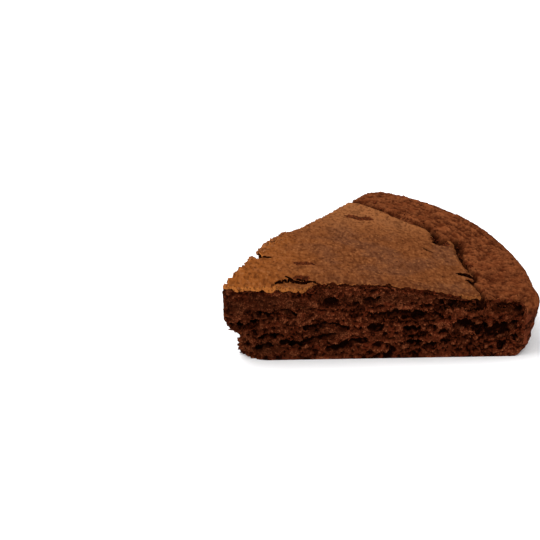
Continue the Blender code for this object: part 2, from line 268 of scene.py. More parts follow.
def keep_value(piece, name, values):
    """Stores one value for each point, for a material to read."""
    attribute = piece.data.attributes.new(name, "FLOAT", "POINT")
    attribute.data.foreach_set("value", np.clip(values, 0.0, 1.0).astype(np.float32))


def select_faces(piece, wanted):
    """Enters edit mode with just the faces selected whose middle and normal are wanted."""
    pick(piece)
    bpy.ops.object.mode_set(mode="EDIT")
    bpy.ops.mesh.select_mode(type="FACE")
    bpy.ops.mesh.select_all(action="DESELECT")
    mesh = bmesh.from_edit_mesh(piece.data)
    for face in mesh.faces:
        face.select_set(wanted(face.calc_center_median(), face.normal))
    bmesh.update_edit_mesh(piece.data)


def triangles_in(piece):
    """How many triangles a piece has."""
    return sum(len(face.vertices) - 2 for face in piece.data.polygons)


# %% [markdown]
# ## The heights of the baked top
#
# The dome rose in the oven, set, and sank a little where the knife went in. Its edge is a ragged line where
# the thin crust broke away from the ring that had already baked on to the pan's wall, and a crevice runs
# along it. Both surfaces are written as heights over the plan, so that every piece meets the next without
# fitting.

# %% Heights of the crust and the ring
RING_HEIGHT = 19.0 * MM
CRUST_RADIUS = 94.0 * MM
CRUST_EDGE_HEIGHT = 20.1 * MM
DOME_RISE = 7.5 * MM
DOME_LEAN = 0.047
DOME_POWER = 2.6
# The crust's edge, as angles round the pan in degrees and distances from its axis in millimetres. Near
# 18 degrees a piece has chipped out.
CRUST_EDGE = (
    (-25.0, 101.0), (-17.1, 99.4), (-15.0, 98.4), (-11.8, 96.6), (-9.2, 95.0), (-7.6, 94.2),
    (-6.4, 95.8), (-4.5, 95.2), (-1.8, 94.4), (0.8, 92.9), (5.5, 92.6), (8.6, 92.8),
    (12.9, 94.2), (15.6, 95.4), (17.8, 96.0), (18.6, 93.6), (19.4, 90.8), (21.5, 91.6),
    (23.3, 92.5), (26.0, 94.2), (28.7, 94.8), (31.0, 93.3), (34.0, 92.3), (38.0, 92.7),
    (43.0, 93.7), (50.0, 95.6), (58.0, 97.0),
)
EDGE_TURNS, EDGE_REACHES = zip(*CRUST_EDGE)
# Layers of noise that make the edge ragged: heights in millimetres, sizes of the bumps and seeds.
EDGE_RAGGEDNESS = ((0.35, 3.4 * MM, 3.7), (0.40, 1.3 * MM, 9.1))
# A lobe is an angle round the pan, a half width in degrees, and how far a surface swells there.
CRUST_LOBES = (
    (-24.0, 9.0, 2.4 * MM),
    (33.0, 13.0, -0.6 * MM),
    (58.0, 5.0, -3.0 * MM),
)
RING_LOBES = (
    (-17.0, 6.0, 1.1 * MM),
    (3.0, 8.0, 0.4 * MM),
    (27.0, 13.0, 0.9 * MM),
    (46.0, 8.0, 1.0 * MM),
    (58.0, 4.5, -3.6 * MM),
)
CREVICE_LOBES = (
    (-14.0, 4.0, 1.0 * MM),
    (0.0, 4.5, 1.0 * MM),
    (13.0, 6.0, 3.2 * MM),
    (22.0, 4.0, 1.4 * MM),
)
CREVICE_WIDTH = 1.3 * MM
CREVICE_DEPTH = 2.8 * MM
CREVICE_FLOOR_SHARE = 0.45
CREVICE_UNEVENNESS = 0.45
CREVICE_BUMP_SIZE = 2.6 * MM
# Between these angles, in radians, the crevice grows shallow towards the back.
BACK_CREVICE_SPAN = (0.42, 0.56)
BACK_CREVICE_SHARE = 0.45
RING_SLOPE = 0.055
RIM_START = 111 * MM
SLUMP_DROP = 1.6 * MM
SLUMP_REACH = 8.0 * MM
SLUMP_END_X = 40.0 * MM
SLUMP_FADE = 5.0 * MM
TIP_HELD_UP = 0.6
TIP_HELD_REACH = 4 * MM
TIP_DROOP = 0.5 * MM
TIP_DROOP_REACH = 7.0 * MM
# The ring's relief: ridges round it at the back, furrows across its rim in front, clods, pits and grains. A
# width is that of a ridge's wave divided by a full turn.
RING_MIDDLE = 100 * MM
RING_BACK_SPAN = (0.05, 0.5)
RIDGE_HEIGHT = 0.32 * MM
RIDGE_WIDTH = 0.43 * MM
RIDGES_IN_FRONT = 0.2
FURROW_HEIGHT = 0.34 * MM
FURROW_WIDTH = 0.36 * MM
FURROW_RADIUS = 109 * MM
FURROW_REACH = 3.5 * MM
CLOD_SIZE = 1.2 * MM
CLOD_HEIGHT = 0.20 * MM
CLOD_GAP = 0.15 * MM
RING_PIT_DEPTH = 0.8 * MM
RING_PIT_SHARE = 0.14
RING_GRAINS = ((0.34 * MM, 0.9 * MM, 8.2), (0.24 * MM, 0.5 * MM, 6.6))
# The grains are this much shorter along X than along Y. The corner at the front cut is rougher and has a pit.
RING_GRAIN_STRETCH = 0.55
CORNER_ROUGHNESS = 0.7
CORNER_PIT = (111.2 * MM, -24.7 * MM)
CORNER_PIT_DEPTH = 1.3 * MM
CORNER_PIT_REACH = (0.4 * MM, 1.3 * MM)
# The crack behind the strip of crust that broke off along the front cut, and how much of the drop each
# side takes.
FLAP_CRACK = in_metres(
    (
        (24.4, -29.5), (27.0, -27.9), (29.4, -26.6), (31.2, -26.6), (32.2, -27.4),
        (34.2, -27.8), (36.4, -27.7), (38.6, -28.6), (40.2, -31.2),
    )
)
FLAP_SHARE = 0.85
FLAP_STEP = 0.2 * MM
BEHIND_FLAP_SHARE = 0.20
BEHIND_FLAP_REACH = 5 * MM


def swell(angle, lobes):
    """How far lobes swell a surface at this angle round the pan."""
    degrees = math.degrees(angle)
    return sum(size * bell(degrees - centre, width) for centre, width, size in lobes)


def crust_edge_radius(angle):
    """How far the crust reaches from the pan's axis at this angle, with a ragged edge."""
    radius = np.interp(math.degrees(angle), EDGE_TURNS, EDGE_REACHES)
    return float(radius + layered(angle * CRUST_RADIUS, 0.0, EDGE_RAGGEDNESS)) * MM


def flap_crack_y(x):
    """How far back the flap's crack lies over this x, or nothing beyond its ends."""
    for (x0, y0), (x1, y1) in zip(FLAP_CRACK, FLAP_CRACK[1:]):
        if x0 <= x <= x1:
            return y0 + (y1 - y0) * (x - x0) / (x1 - x0)
    return None


def slump(x, y):
    """How far the top has sunk at the tip and beside the front cut, with a step at the flap's crack."""
    from_tip = math.hypot(x - TIP.x, y - TIP.y)
    along = 1.0 - smooth(SLUMP_END_X - SLUMP_FADE, SLUMP_END_X, x)
    across = 1.0 - smooth(0.0, SLUMP_REACH, y + FRONT_CUT_OFFSET)
    crack_y = flap_crack_y(x)
    if crack_y is not None:
        broken = smooth(FLAP_CRACK[0][0], FLAP_CRACK[1][0], x)
        back = smooth(crack_y - FLAP_STEP, crack_y + FLAP_STEP, y)
        on_flap = 1.0 + (FLAP_SHARE - 1.0) * smooth(-FRONT_CUT_OFFSET, crack_y, y)
        sunk_behind = BEHIND_FLAP_SHARE * (1.0 - smooth(crack_y, crack_y + BEHIND_FLAP_REACH, y))
        across += (on_flap * (1.0 - back) + sunk_behind * back - across) * broken
    held_up = 1.0 - TIP_HELD_UP * bell(from_tip, TIP_HELD_REACH)
    return SLUMP_DROP * across * along * held_up + TIP_DROOP * bell(from_tip, TIP_DROOP_REACH)


def crust_height(x, y):
    """Height of the dome without its fine relief."""
    radius, angle = math.hypot(x, y), math.atan2(y, x)
    rise = DOME_RISE - DOME_LEAN * y
    inwards = 1.0 - min(radius / CRUST_RADIUS, 1.0) ** DOME_POWER
    dome = CRUST_EDGE_HEIGHT + swell(angle, CRUST_LOBES) * (1.0 - inwards) + rise * inwards
    return dome - slump(x, y)


def crevice(x, y):
    """0 on the open ring and 1 at the bottom of the crevice beside and under the crust's lip."""
    angle = math.atan2(y, x)
    width = CREVICE_WIDTH + swell(angle, CREVICE_LOBES)
    width *= 1.0 + CREVICE_UNEVENNESS * bumps(angle * CRUST_RADIUS, 0.0, CREVICE_BUMP_SIZE, 14.0)
    outside = math.hypot(x, y) - crust_edge_radius(angle)
    share = 1.0 + (BACK_CREVICE_SHARE - 1.0) * smooth(*BACK_CREVICE_SPAN, angle)
    return share * (1.0 - smooth(CREVICE_FLOOR_SHARE * width, width, outside))


def ring_height(x, y):
    """Height of the outer ring without its fine relief."""
    radius, angle = math.hypot(x, y), math.atan2(y, x)
    rise = RING_SLOPE * max(RIM_START - radius, 0.0)
    return RING_HEIGHT + swell(angle, RING_LOBES) + rise - CREVICE_DEPTH * crevice(x, y)


def ring_ridges(x, y, radius, angle):
    """Ridges that run round the ring at the back, and furrows that run across its rim in front."""
    along = angle * RING_MIDDLE
    at_back = smooth(*RING_BACK_SPAN, angle)
    ridges = RIDGE_HEIGHT * math.sin(radius / RIDGE_WIDTH + 2.6 * bumps(x, y, 13 * MM, 5.1))
    furrows = FURROW_HEIGHT * math.sin(along / FURROW_WIDTH + 3.0 * bumps(x, y, 5 * MM, 2.2))
    across_rim = bell(radius - FURROW_RADIUS, FURROW_REACH) * (1.0 - at_back)
    broken = 0.7 + 0.8 * bumps(along, radius, 6 * MM, 3.3)
    return (ridges * (RIDGES_IN_FRONT + (1.0 - RIDGES_IN_FRONT) * at_back) + furrows * across_rim) * broken


def ring_clods(x, y):
    """Clods of different heights with gaps between them, pits in some of them, and grains."""
    short_y = RING_GRAIN_STRETCH * y
    near, following, chance = cell_pattern(Vector((x, short_y, 0.0)) / CLOD_SIZE, 3.3)
    clods = CLOD_HEIGHT * (chance - 0.5) - CLOD_GAP * (1.0 - smooth(0.0, 0.2, following - near))
    pits = RING_PIT_DEPTH * (1.0 - smooth(0.1, 0.45, near)) if chance < RING_PIT_SHARE else 0.0
    return clods - pits + layered(x, short_y, RING_GRAINS)


def ring_relief(x, y):
    """Rough relief of the ring, strongest in the crevice and at the front corner."""
    radius, angle = math.hypot(x, y), math.atan2(y, x)
    flakes = 0.22 * MM * bumps(angle * RING_MIDDLE * 0.4, radius, 1.3 * MM, 2.0)
    flakes += 0.45 * MM * bumps(x, y, 4.6 * MM, 4.4)
    from_pit = math.hypot(x - CORNER_PIT[0], y - CORNER_PIT[1])
    pit = CORNER_PIT_DEPTH * (1.0 - smooth(*CORNER_PIT_REACH, from_pit))
    rim_fade = 1.0 - 0.35 * smooth(RIM_START, RIM_START + 2 * MM, radius)
    rougher = 1.0 + 0.8 * crevice(x, y) + CORNER_ROUGHNESS * bell(y + FRONT_CUT_OFFSET, 6 * MM)
    return (ring_ridges(x, y, radius, angle) + ring_clods(x, y) + flakes - pit) * rim_fade * rougher


print("The dome is", round(crust_height(0.03, 0.0) / MM, 1), "mm high, the ring", RING_HEIGHT / MM, "mm")

# %% [markdown]
# ## The crumb
#
# Most of a slice is crumb: a soft foam of batter walls round bubbles that the oven blew up and the knife
# cut open. It could be carved from a box, but a cake is turned by its pan, so its section is spun round the
# pan's axis and then cut twice by planes, as the knife did. The walls of the foam are too fine for that.
# They come last, as relief on the two cuts.

# %% Spin the section and cut the wedge
CRUST_COVER = 0.9 * MM
RIND_COVER = 0.5 * MM
SECTION_START = 19 * MM
FIRST_ANGLE = math.radians(-85)
SWEEP = math.radians(147)
WALL_DRAFT = 1.6 * MM
WALL_FOOT_ROUND = 3.4 * MM
WALL_TOP_ROUND = 4.0 * MM
FOOT_RADIUS = PAN_RADIUS - WALL_DRAFT - WALL_FOOT_ROUND


def quarter(centre_radius, centre_height, size, start, steps):
    """Points of a quarter circle in the section, from an angle in degrees."""
    points = []
    for step in range(steps + 1):
        turn = math.radians(start + 90.0 * step / steps)
        points.append((centre_radius + size * math.cos(turn), centre_height + size * math.sin(turn)))
    return points


def wall_section(inset, steps):
    """The section of the side, from its foot to the ring, drawn in by an inset."""
    foot = quarter(FOOT_RADIUS, WALL_FOOT_ROUND, WALL_FOOT_ROUND - inset, -90.0, steps)
    top_height = RING_HEIGHT - WALL_TOP_ROUND
    return foot + quarter(PAN_RADIUS - WALL_TOP_ROUND, top_height, WALL_TOP_ROUND - inset, 0.0, steps)


def spun_top(radius):
    """Height of the spun solid's top, before the dome's own shape is pressed into it."""
    return RING_HEIGHT + DOME_RISE * (1.0 - min(radius / CRUST_RADIUS, 1.0) ** DOME_POWER)


def around(points):
    """Section points as places at the angle where the spin starts."""
    aside = Vector((math.cos(FIRST_ANGLE), math.sin(FIRST_ANGLE), 0.0))
    return [aside * radius + UP * height for radius, height in points]


def spin(piece, steps):
    """Spins all of a piece round the pan's axis."""
    pick(piece)
    bpy.ops.object.mode_set(mode="EDIT")
    bpy.ops.mesh.select_all(action="SELECT")
    bpy.ops.mesh.spin(steps=steps, angle=-SWEEP, center=(0.0, 0.0, 0.0), axis=(0.0, 0.0, 1.0))
    bpy.ops.object.mode_set(mode="OBJECT")


def knife(piece, fill):
    """Cuts a piece along both cuts and takes away what lies outside the wedge."""
    pick(piece)
    bpy.ops.object.mode_set(mode="EDIT")
    for outwards in (FRONT_OUT, BACK_OUT):
        bpy.ops.mesh.select_all(action="SELECT")
        bpy.ops.mesh.bisect(plane_co=TIP, plane_no=outwards, use_fill=fill, clear_outer=True)
    bpy.ops.mesh.select_all(action="SELECT")
    bpy.ops.mesh.remove_doubles(threshold=0.02 * MM)
    bpy.ops.mesh.normals_make_consistent(inside=False)
    bpy.ops.object.mode_set(mode="OBJECT")


def cut_crumb():
    """The wedge of crumb, with plain faces."""
    across = [SECTION_START + (CRUST_RADIUS - SECTION_START) * step / 14 for step in range(15)]
    top = [(radius, spun_top(radius)) for radius in reversed(across)]
    outline = around([(SECTION_START, 0.0), (FOOT_RADIUS, 0.0)] + wall_section(RIND_COVER, 3) + top)
    edges = [(number, (number + 1) % len(outline)) for number in range(len(outline))]
    piece = new_piece("crumb", outline, edges)
    bpy.ops.object.mode_set(mode="EDIT")
    bpy.ops.mesh.select_all(action="SELECT")
    bpy.ops.mesh.edge_face_add()
    bpy.ops.object.mode_set(mode="OBJECT")
    spin(piece, 120)
    knife(piece, fill=True)
    return piece


crumb = cut_crumb()
print("The plain wedge has", triangles_in(crumb), "triangles")

# %% [markdown]
# ## Hollows in the crumb
#
# Large bubbles and tears go deep into the front cut, and their far walls are black with shade. Relief alone
# would smear there, so they are hollowed out with cutters: lumpy, flattened balls that are joined, melted
# together by a remesh and subtracted. Their places are read from the photograph, as distances along the cut
# and heights.

# %% Hollow out the bubbles and tears
# Each bubble: distance from the tip, height, width and height of the hollow, in millimetres.
FRONT_BUBBLES = (
    (36.6, 20.7, 6.6, 3.6), (33.4, 22.2, 2.4, 1.6), (25.8, 18.7, 2.6, 2.2), (29.2, 18.4, 3.0, 1.7),
    (46.8, 18.3, 3.2, 2.2), (49.0, 21.4, 2.4, 1.6), (58.2, 17.1, 3.4, 3.2), (65.6, 15.8, 6.4, 3.2),
    (61.4, 15.6, 4.6, 2.2), (70.4, 15.2, 4.4, 1.7), (75.3, 17.0, 2.4, 1.9), (63.8, 10.0, 4.4, 1.5),
    (81.5, 12.9, 4.2, 1.8), (85.4, 12.2, 3.6, 1.7), (79.0, 9.1, 3.6, 2.2), (75.8, 6.8, 2.6, 2.5),
    (82.2, 6.1, 3.4, 2.8), (93.7, 3.7, 2.2, 2.0), (98.1, 7.2, 2.6, 2.2), (41.5, 16.2, 4.4, 1.6),
    (13.3, 16.1, 4.4, 1.4), (52.6, 13.4, 3.2, 1.4), (99.4, 16.6, 2.6, 1.5), (92.6, 18.4, 1.9, 1.5),
    (95.4, 18.5, 1.7, 1.6), (101.0, 17.3, 2.0, 2.0), (87.2, 18.0, 1.7, 1.2), (72.6, 18.6, 2.0, 1.3),
    (10.4, 24.0, 3.0, 1.4), (63.6, 22.9, 1.7, 1.1), (56.2, 21.3, 2.1, 1.4),
)
# Each tear: a bent line of distances from the tip and heights, and how high it opens, in millimetres.
FRONT_TEARS = (
    (((5.3, 12.9), (6.9, 12.5), (8.8, 12.6), (10.7, 13.3), (11.9, 14.1)), 1.4),
    (((11.9, 16.8), (14.0, 16.3), (17.0, 16.0)), 1.3),
    (((27.4, 11.4), (31.4, 11.4), (35.0, 12.5), (39.2, 11.8), (42.1, 10.7)), 1.1),
    (((20.1, 6.0), (27.0, 5.9), (31.7, 7.3), (38.0, 8.8)), 1.3),
    (((10.7, 3.9), (14.4, 4.8), (16.3, 5.1)), 1.1),
    (((19.6, 17.7), (21.4, 17.6), (24.3, 16.4)), 1.0),
    (((35.5, 3.4), (39.5, 3.9), (43.0, 5.8), (48.3, 6.5)), 1.5),
    (((55.7, 15.3), (59.2, 16.4), (63.5, 15.7), (72.9, 15.0)), 1.3),
    (((50.5, 15.4), (54.7, 15.4)), 1.3),
    (((48.3, 20.7), (50.9, 20.7), (52.5, 21.7)), 1.3),
    (((62.0, 9.8), (66.0, 10.3)), 1.3),
    (((63.0, 5.5), (67.0, 5.7)), 1.0),
    (((50.1, 11.1), (51.7, 10.5), (53.4, 11.5)), 1.5),
    (((68.7, 3.6), (71.8, 4.6)), 1.4),
    (((78.7, 11.3), (82.2, 12.2), (85.6, 10.9), (88.9, 11.3)), 1.6),
    (((89.9, 8.8), (93.2, 10.0), (99.1, 11.7)), 2.0),
    (((90.5, 7.2), (93.8, 7.7), (96.1, 8.6)), 1.0),
    (((98.1, 6.6), (100.0, 6.7)), 0.9),
    (((91.5, 18.9), (93.4, 18.6), (97.2, 18.2), (98.6, 17.9)), 1.6),
    (((98.9, 16.5), (100.6, 16.7), (101.7, 17.4)), 2.0),
    (((72.0, 20.6), (74.4, 20.6), (76.8, 19.9), (79.9, 19.3)), 1.2),
    (((81.3, 19.6), (82.9, 19.4)), 1.2),
    (((84.4, 18.5), (86.8, 18.0)), 1.0),
    (((12.2, 7.6), (16.4, 8.6), (20.6, 8.4)), 0.9),
)
BUBBLE_DEEPNESS = 1.5
TEAR_WIDTH = 3.2 * MM
TEAR_DEPTH = 3.4 * MM
TEAR_WIDENING = 1.3
TEAR_STEP = 1.1
CUTTER_VOXEL = 0.4 * MM
CUTTER_DENT = 0.55 * MM
CUTTER_DENT_SIZE = 1.3 * MM
# The second cut's hollows, with the larger bubbles first. Lengths and distances are in millimetres.
BACK_SEED = 11
BACK_BUBBLES = 34
BACK_WIDEST = 5.4
BACK_NARROWING = 3.6
BACK_BUBBLE_SPAN = (8.0, 130.0)
BACK_BUBBLE_HEIGHTS = (3.5, 17.0)
BACK_FLATNESS = (0.35, 0.6)
BACK_TEARS = 8
BACK_TEAR_SPAN = (12.0, 112.0)
BACK_TEAR_HEIGHTS = (4.0, 15.0)
BACK_TEAR_OPENINGS = (0.9, 1.5)


def dent(piece, depth, size, shift=Vector()):
    """Dents and swells a piece by noise."""
    places = points_of(piece)
    put_points(piece, [place + depth * noise.noise_vector(place / size + shift) for place in places])


def ball(along, outwards, distance, height, size):
    """Adds one lumpy, flattened ball centred on a cut: size is its width, depth and height."""
    place = TIP + along * distance * MM + UP * height * MM
    place.z *= spun_top(math.hypot(place.x, place.y)) / crust_height(place.x, place.y)
    bpy.ops.mesh.primitive_ico_sphere_add(subdivisions=3, radius=0.5)
    made = bpy.context.object
    turn = Matrix((along, outwards, UP)).transposed().to_4x4()
    made.data.transform(Matrix.Translation(place) @ turn @ Matrix.Diagonal((*size, 1.0)))
    dent(made, CUTTER_DENT, CUTTER_DENT_SIZE)
    return made


def tear(along, outwards, line, opening):
    """Adds the flattened balls of one tear, close enough together to melt into one."""
    made = []
    size = (TEAR_WIDTH, 2.0 * TEAR_DEPTH, opening * TEAR_WIDENING * MM)
    for (u0, z0), (u1, z1) in zip(line, line[1:]):
        count = max(1, round(math.hypot(u1 - u0, z1 - z0) / TEAR_STEP))
        for share in (step / count for step in range(count)):
            made.append(ball(along, outwards, u0 + (u1 - u0) * share, z0 + (z1 - z0) * share, size))
    return made


def bubble(along, outwards, distance, height, wide, tall):
    """Adds the ball of one bubble."""
    return ball(along, outwards, distance, height, (wide * MM, wide * BUBBLE_DEEPNESS * MM, tall * MM))


def back_hollows():
    """Bubbles and tears spread over the second cut, which the photograph doesn't show."""
    draw = random.Random(BACK_SEED)
    made = []
    for number in range(BACK_BUBBLES):
        wide = BACK_WIDEST - BACK_NARROWING * (number / BACK_BUBBLES) ** 0.5
        place = (draw.uniform(*BACK_BUBBLE_SPAN), draw.uniform(*BACK_BUBBLE_HEIGHTS))
        made.append(bubble(BACK_ALONG, BACK_OUT, *place, wide, wide * draw.uniform(*BACK_FLATNESS)))
    for _ in range(BACK_TEARS):
        start, height = draw.uniform(*BACK_TEAR_SPAN), draw.uniform(*BACK_TEAR_HEIGHTS)
        line = [(start + 4.0 * step, height + draw.uniform(-0.7, 0.7)) for step in range(4)]
        made += tear(BACK_ALONG, BACK_OUT, line, draw.uniform(*BACK_TEAR_OPENINGS))
    return made


def hollow_out(piece):
    """Subtracts all the hollows from the crumb."""
    balls = [bubble(FRONT_ALONG, FRONT_OUT, *values) for values in FRONT_BUBBLES] + back_hollows()
    for line, opening in FRONT_TEARS:
        balls += tear(FRONT_ALONG, FRONT_OUT, line, opening)
    cutter = join(balls)
    finish_with(cutter, "REMESH", mode="VOXEL", voxel_size=CUTTER_VOXEL)
    print("Cutters:", len(balls), "balls,", triangles_in(cutter), "triangles")
    finish_with(piece, "BOOLEAN", operation="DIFFERENCE", object=cutter, solver="EXACT")
    bpy.data.objects.remove(cutter)


hollow_out(crumb)
print("With its hollows the crumb has", triangles_in(crumb), "triangles")

# %% [markdown]
# ## Cracks in the crust
#
# Cracks and slits in the crust show crumb at their bottom, so they matter to both. They are bent lines over
# the plan, each with a half width and with how much lower the crumb lies under it.

# %% Lay out the cracks
CRUST_CRACKS = (
    (FLAP_CRACK, 0.30 * MM, 1.4 * MM),
    (in_metres(((29.4, -24.4), (30.4, -25.4), (31.4, -26.8))), 0.50 * MM, 1.2 * MM),
    (in_metres(((33.4, -26.0), (35.4, -26.6))), 0.60 * MM, 1.4 * MM),
    (in_metres(((80.1, 17.4), (81.2, 14.6), (82.9, 13.1))), 0.35 * MM, 0.4 * MM),
    (in_metres(((90.8, -6.2), (92.2, -6.4), (93.8, -7.6), (95.6, -9.6))), 1.45 * MM, 2.2 * MM),
    (in_metres(((92.8, -12.2), (94.2, -13.2))), 1.00 * MM, 1.8 * MM),
    (in_metres(((88.6, 30.6), (87.2, 28.4), (86.4, 25.6))), 1.90 * MM, 1.8 * MM),
    (in_metres(((19.4, -4.4), (21.4, -4.6))), 1.60 * MM, 3.0 * MM),
    (in_metres(((21.4, -4.6), (24.6, -5.4))), 0.90 * MM, 2.4 * MM),
)
# Places where the top of the crust has flaked off and redder crumb shows, each with its half width.
FLAKED_PATCHES = (
    (in_metres(((34.7, -11.0), (36.4, -10.5), (38.0, -11.0))), 1.9 * MM),
    (in_metres(((57.4, 52.6), (60.2, 50.6), (63.0, 51.4))), 2.3 * MM),
    (in_metres(((33.6, -24.8), (35.4, -25.6))), 1.8 * MM),
    (in_metres(((87.0, 31.6), (87.4, 25.0))), 2.8 * MM),
)
FLAKE_DEPTH = 0.25 * MM
FLAKE_FADE = 0.4 * MM
FLAKE_JAG = 1.1 * MM
CRACK_JAG = 0.45 * MM
JAG_SIZE = 0.9 * MM
UNDER_CRACK_FADE = 1.0 * MM


def in_crack(x, y):
    """True inside a crack, whose sides are jagged."""
    jag_x = x + CRACK_JAG * bumps(x, y, JAG_SIZE, 6.1)
    jag_y = y + CRACK_JAG * bumps(x, y, JAG_SIZE, 2.9)
    return any(distance_to_line(jag_x, jag_y, line) < half_width for line, half_width, _ in CRUST_CRACKS)


def flaked(x, y):
    """1 where the crust's top has flaked off, falling to 0 round the patch."""
    jag = FLAKE_JAG * bumps(x, 0.5 * y, JAG_SIZE, 3.4)
    outside = min(distance_to_line(x, y, line) + jag - half_width for line, half_width in FLAKED_PATCHES)
    return smooth(FLAKE_FADE, -FLAKE_FADE, outside)


def under_cracks(x, y):
    """How much lower the crumb lies under the cracks."""
    press = 0.0
    for line, half_width, depth in CRUST_CRACKS:
        away = distance_to_line(x, y, line) - half_width
        press = max(press, depth * (1.0 - smooth(0.0, UNDER_CRACK_FADE, away)))
    return press


print("Cracks in the crust:", len(CRUST_CRACKS), "and flaked patches:", len(FLAKED_PATCHES))

# %% [markdown]
# ## The torn foam of the two cuts
#
# A remesh turns the wedge into even squares, which are split once more near the two cuts. Then the points
# are moved as with a brush. First the whole wedge is pressed under the true dome and bitten at its crumbled
# tip. Then each cut gets the relief of torn foam: clumps that broke apart at different depths, flaky
# layers, pores and grains. The dense patches, where the batter rose less, have fewer pores. How deep each
# point lies and how high it stands are kept, so that pores and hollows can be painted dark with shade and
# torn edges painted lighter, as if lit.

# %% Sculpt the crumb
CRUMB_VOXEL = 0.6 * MM
FINE_DEPTH = 3.4 * MM
CRUMB_TRIANGLES = 195_000
# Where the front cut is dense: distance from the tip, height, and half width and half height of the patch.
DENSE_PATCHES = (
    (12.0, 19.6, 15.0, 3.0),
    (88.0, 16.4, 13.0, 2.4),
    (35.0, 9.4, 8.0, 1.5),
    (58.0, 21.4, 22.0, 1.5),
    (14.0, 4.0, 6.0, 2.0),
)
# Clumps that stand proud of the front cut and catch the light: the same four values.
LIGHT_CLUMPS = (
    (4.1, 14.4, 1.1, 0.9), (7.3, 13.6, 1.4, 0.5), (11.0, 15.5, 0.9, 0.6), (27.9, 8.3, 0.6, 0.6),
    (8.5, 3.2, 2.1, 1.1), (3.2, 11.3, 1.1, 0.7), (17.3, 7.0, 0.8, 0.7), (35.5, 23.4, 1.3, 0.5),
    (63.5, 11.8, 5.3, 0.6), (66.9, 22.0, 0.8, 0.5), (42.3, 12.7, 0.8, 0.5), (68.3, 16.8, 0.7, 0.8),
    (60.8, 18.3, 1.9, 0.5), (81.8, 9.2, 1.9, 1.1), (85.6, 12.3, 1.0, 0.5), (85.9, 8.7, 0.8, 0.6),
    (96.2, 16.5, 0.9, 0.6), (85.0, 6.0, 0.7, 0.8), (80.0, 3.8, 0.7, 0.8), (100.7, 12.8, 1.2, 0.4),
)
CLUMP_RISE = 0.8 * MM
GROOVE_DEPTH = 1.8 * MM
BACK_DENSE_BAND = 3.5
# How much less the walls of the hollows are roughened than the cut itself, so that narrow tears stay open.
HOLLOW_QUIET = 0.7
TEAR_BULGE = 2.9 * MM
TEAR_BULGE_SPAN = (28.0 * MM, 38.0 * MM, 58.0 * MM, 69.0 * MM)
TIP_BITE = in_metres(
    ((0.0, 9.6), (1.2, 8.0), (4.0, 6.6), (6.6, 8.2), (9.6, 3.9), (12.2, 1.2), (14.5, -0.2), (30.0, -0.8))
)
TIP_BITE_REACH = 16.0 * MM
WALL_LOBES = (
    (-10.5, 5.0, 3.3 * MM),
    (-1.0, 7.0, 0.9 * MM),
    (34.0, 13.0, 1.3 * MM),
)
CORNER_PULL = 1.6 * MM
CORNER_REACH = 1.7 * MM
# The side's wrinkles and grains: depth, length round the side, height and seed.
SIDE_WRINKLES = ((0.45 * MM, 5.5 * MM, 2.2 * MM, 1.0), (0.34 * MM, 1.8 * MM, 0.8 * MM, 4.0))
SIDE_PIT_SPACING = 2.4 * MM
SIDE_PIT_DEPTH = 1.0 * MM
SIDE_PIT_SHARE = 0.5
# The foam's clumps: size, seed, spread of their heights, and depth of the gaps between them.
LARGE_CLUMPS = (2.5 * MM, 3.0, 0.65 * MM, 0.45 * MM)
SMALL_CLUMPS = (1.15 * MM, 9.0, 0.42 * MM, 0.28 * MM)
GRAINS = (0.7 * MM, 15.0, 0.30 * MM, 0.18 * MM)
# The foam's pores: spacing, seed, the share of the cells that hold a pore, and its depth.
LARGE_PORES = (3.4 * MM, 21.0, 0.16, 1.4 * MM)
MIDDLE_PORES = (1.9 * MM, 33.0, 0.28, 0.9 * MM)
SMALL_PORES = (1.1 * MM, 47.0, 0.42, 0.6 * MM)


def bite(height):
    """Depth of the bite out of the tip at this height."""
    for (low, at_low), (high, at_high) in zip(TIP_BITE, TIP_BITE[1:]):
        if height <= high:
            return at_low + (at_high - at_low) * (height - low) / (high - low)
    return TIP_BITE[-1][1]


def bitten(place):
    """A point moved into the cake where the tip has crumbled."""
    near = max(0.0, 1.0 - (place - TIP).xy.length / TIP_BITE_REACH) ** 1.6
    ragged = 1.0 + 0.3 * noise.noise(place / (2.2 * MM))
    return place + INTO_TIP * bite(place.z) * near * ragged


def back_bulge(place):
    """How far the second cut stands proud where it tore."""
    along = (place - TIP).dot(BACK_ALONG)
    rise, full, fall, end = TEAR_BULGE_SPAN
    bulge = TEAR_BULGE * smooth(rise, full, along) * (1.0 - smooth(fall, end, along))
    by_height = 0.35 + 0.65 * place.z / (RING_HEIGHT + DOME_RISE)
    return bulge * by_height * (1.0 - smooth(0.0, 8 * MM, behind(place, BACK_OUT)))


def side_relief(along, height):
    """Relief of the side: wrinkles, lumps, pits and grains, all longer round the side than they are high."""
    relief = 0.0
    for depth, length, tall, seed in SIDE_WRINKLES:
        relief += depth * noise.noise(Vector((along / length, height / tall, seed)))
    near, _, chance = cell_pattern(Vector((along, 1.9 * height, 0.0)) / SIDE_PIT_SPACING, 3.3)
    pit = SIDE_PIT_DEPTH * (1.0 - smooth(0.08, 0.45, near)) if chance < SIDE_PIT_SHARE else 0.0
    return (relief - pit) * smooth(0.0, 2 * MM, height)


def swell_side(place):
    """Moves a point of the side out to its true, uneven round, and keeps it on the cuts."""
    radius, angle = math.hypot(place.x, place.y), math.atan2(place.y, place.x)
    up = min(place.z / RING_HEIGHT, 1.0)
    growth = swell(angle, WALL_LOBES) * (1.0 + up) / 2
    growth += side_relief(angle * PAN_RADIUS, place.z) * (1.0 - up**6)
    growth -= CORNER_PULL * up * bell(behind(place, FRONT_OUT), CORNER_REACH)
    move = Vector((math.cos(angle), math.sin(angle), 0.0)) * growth * smooth(98 * MM, 111 * MM, radius)
    for outwards in (FRONT_OUT, BACK_OUT):
        move -= outwards * move.dot(outwards) * (1.0 - smooth(0.0, 3 * MM, behind(place, outwards)))
    return place + move


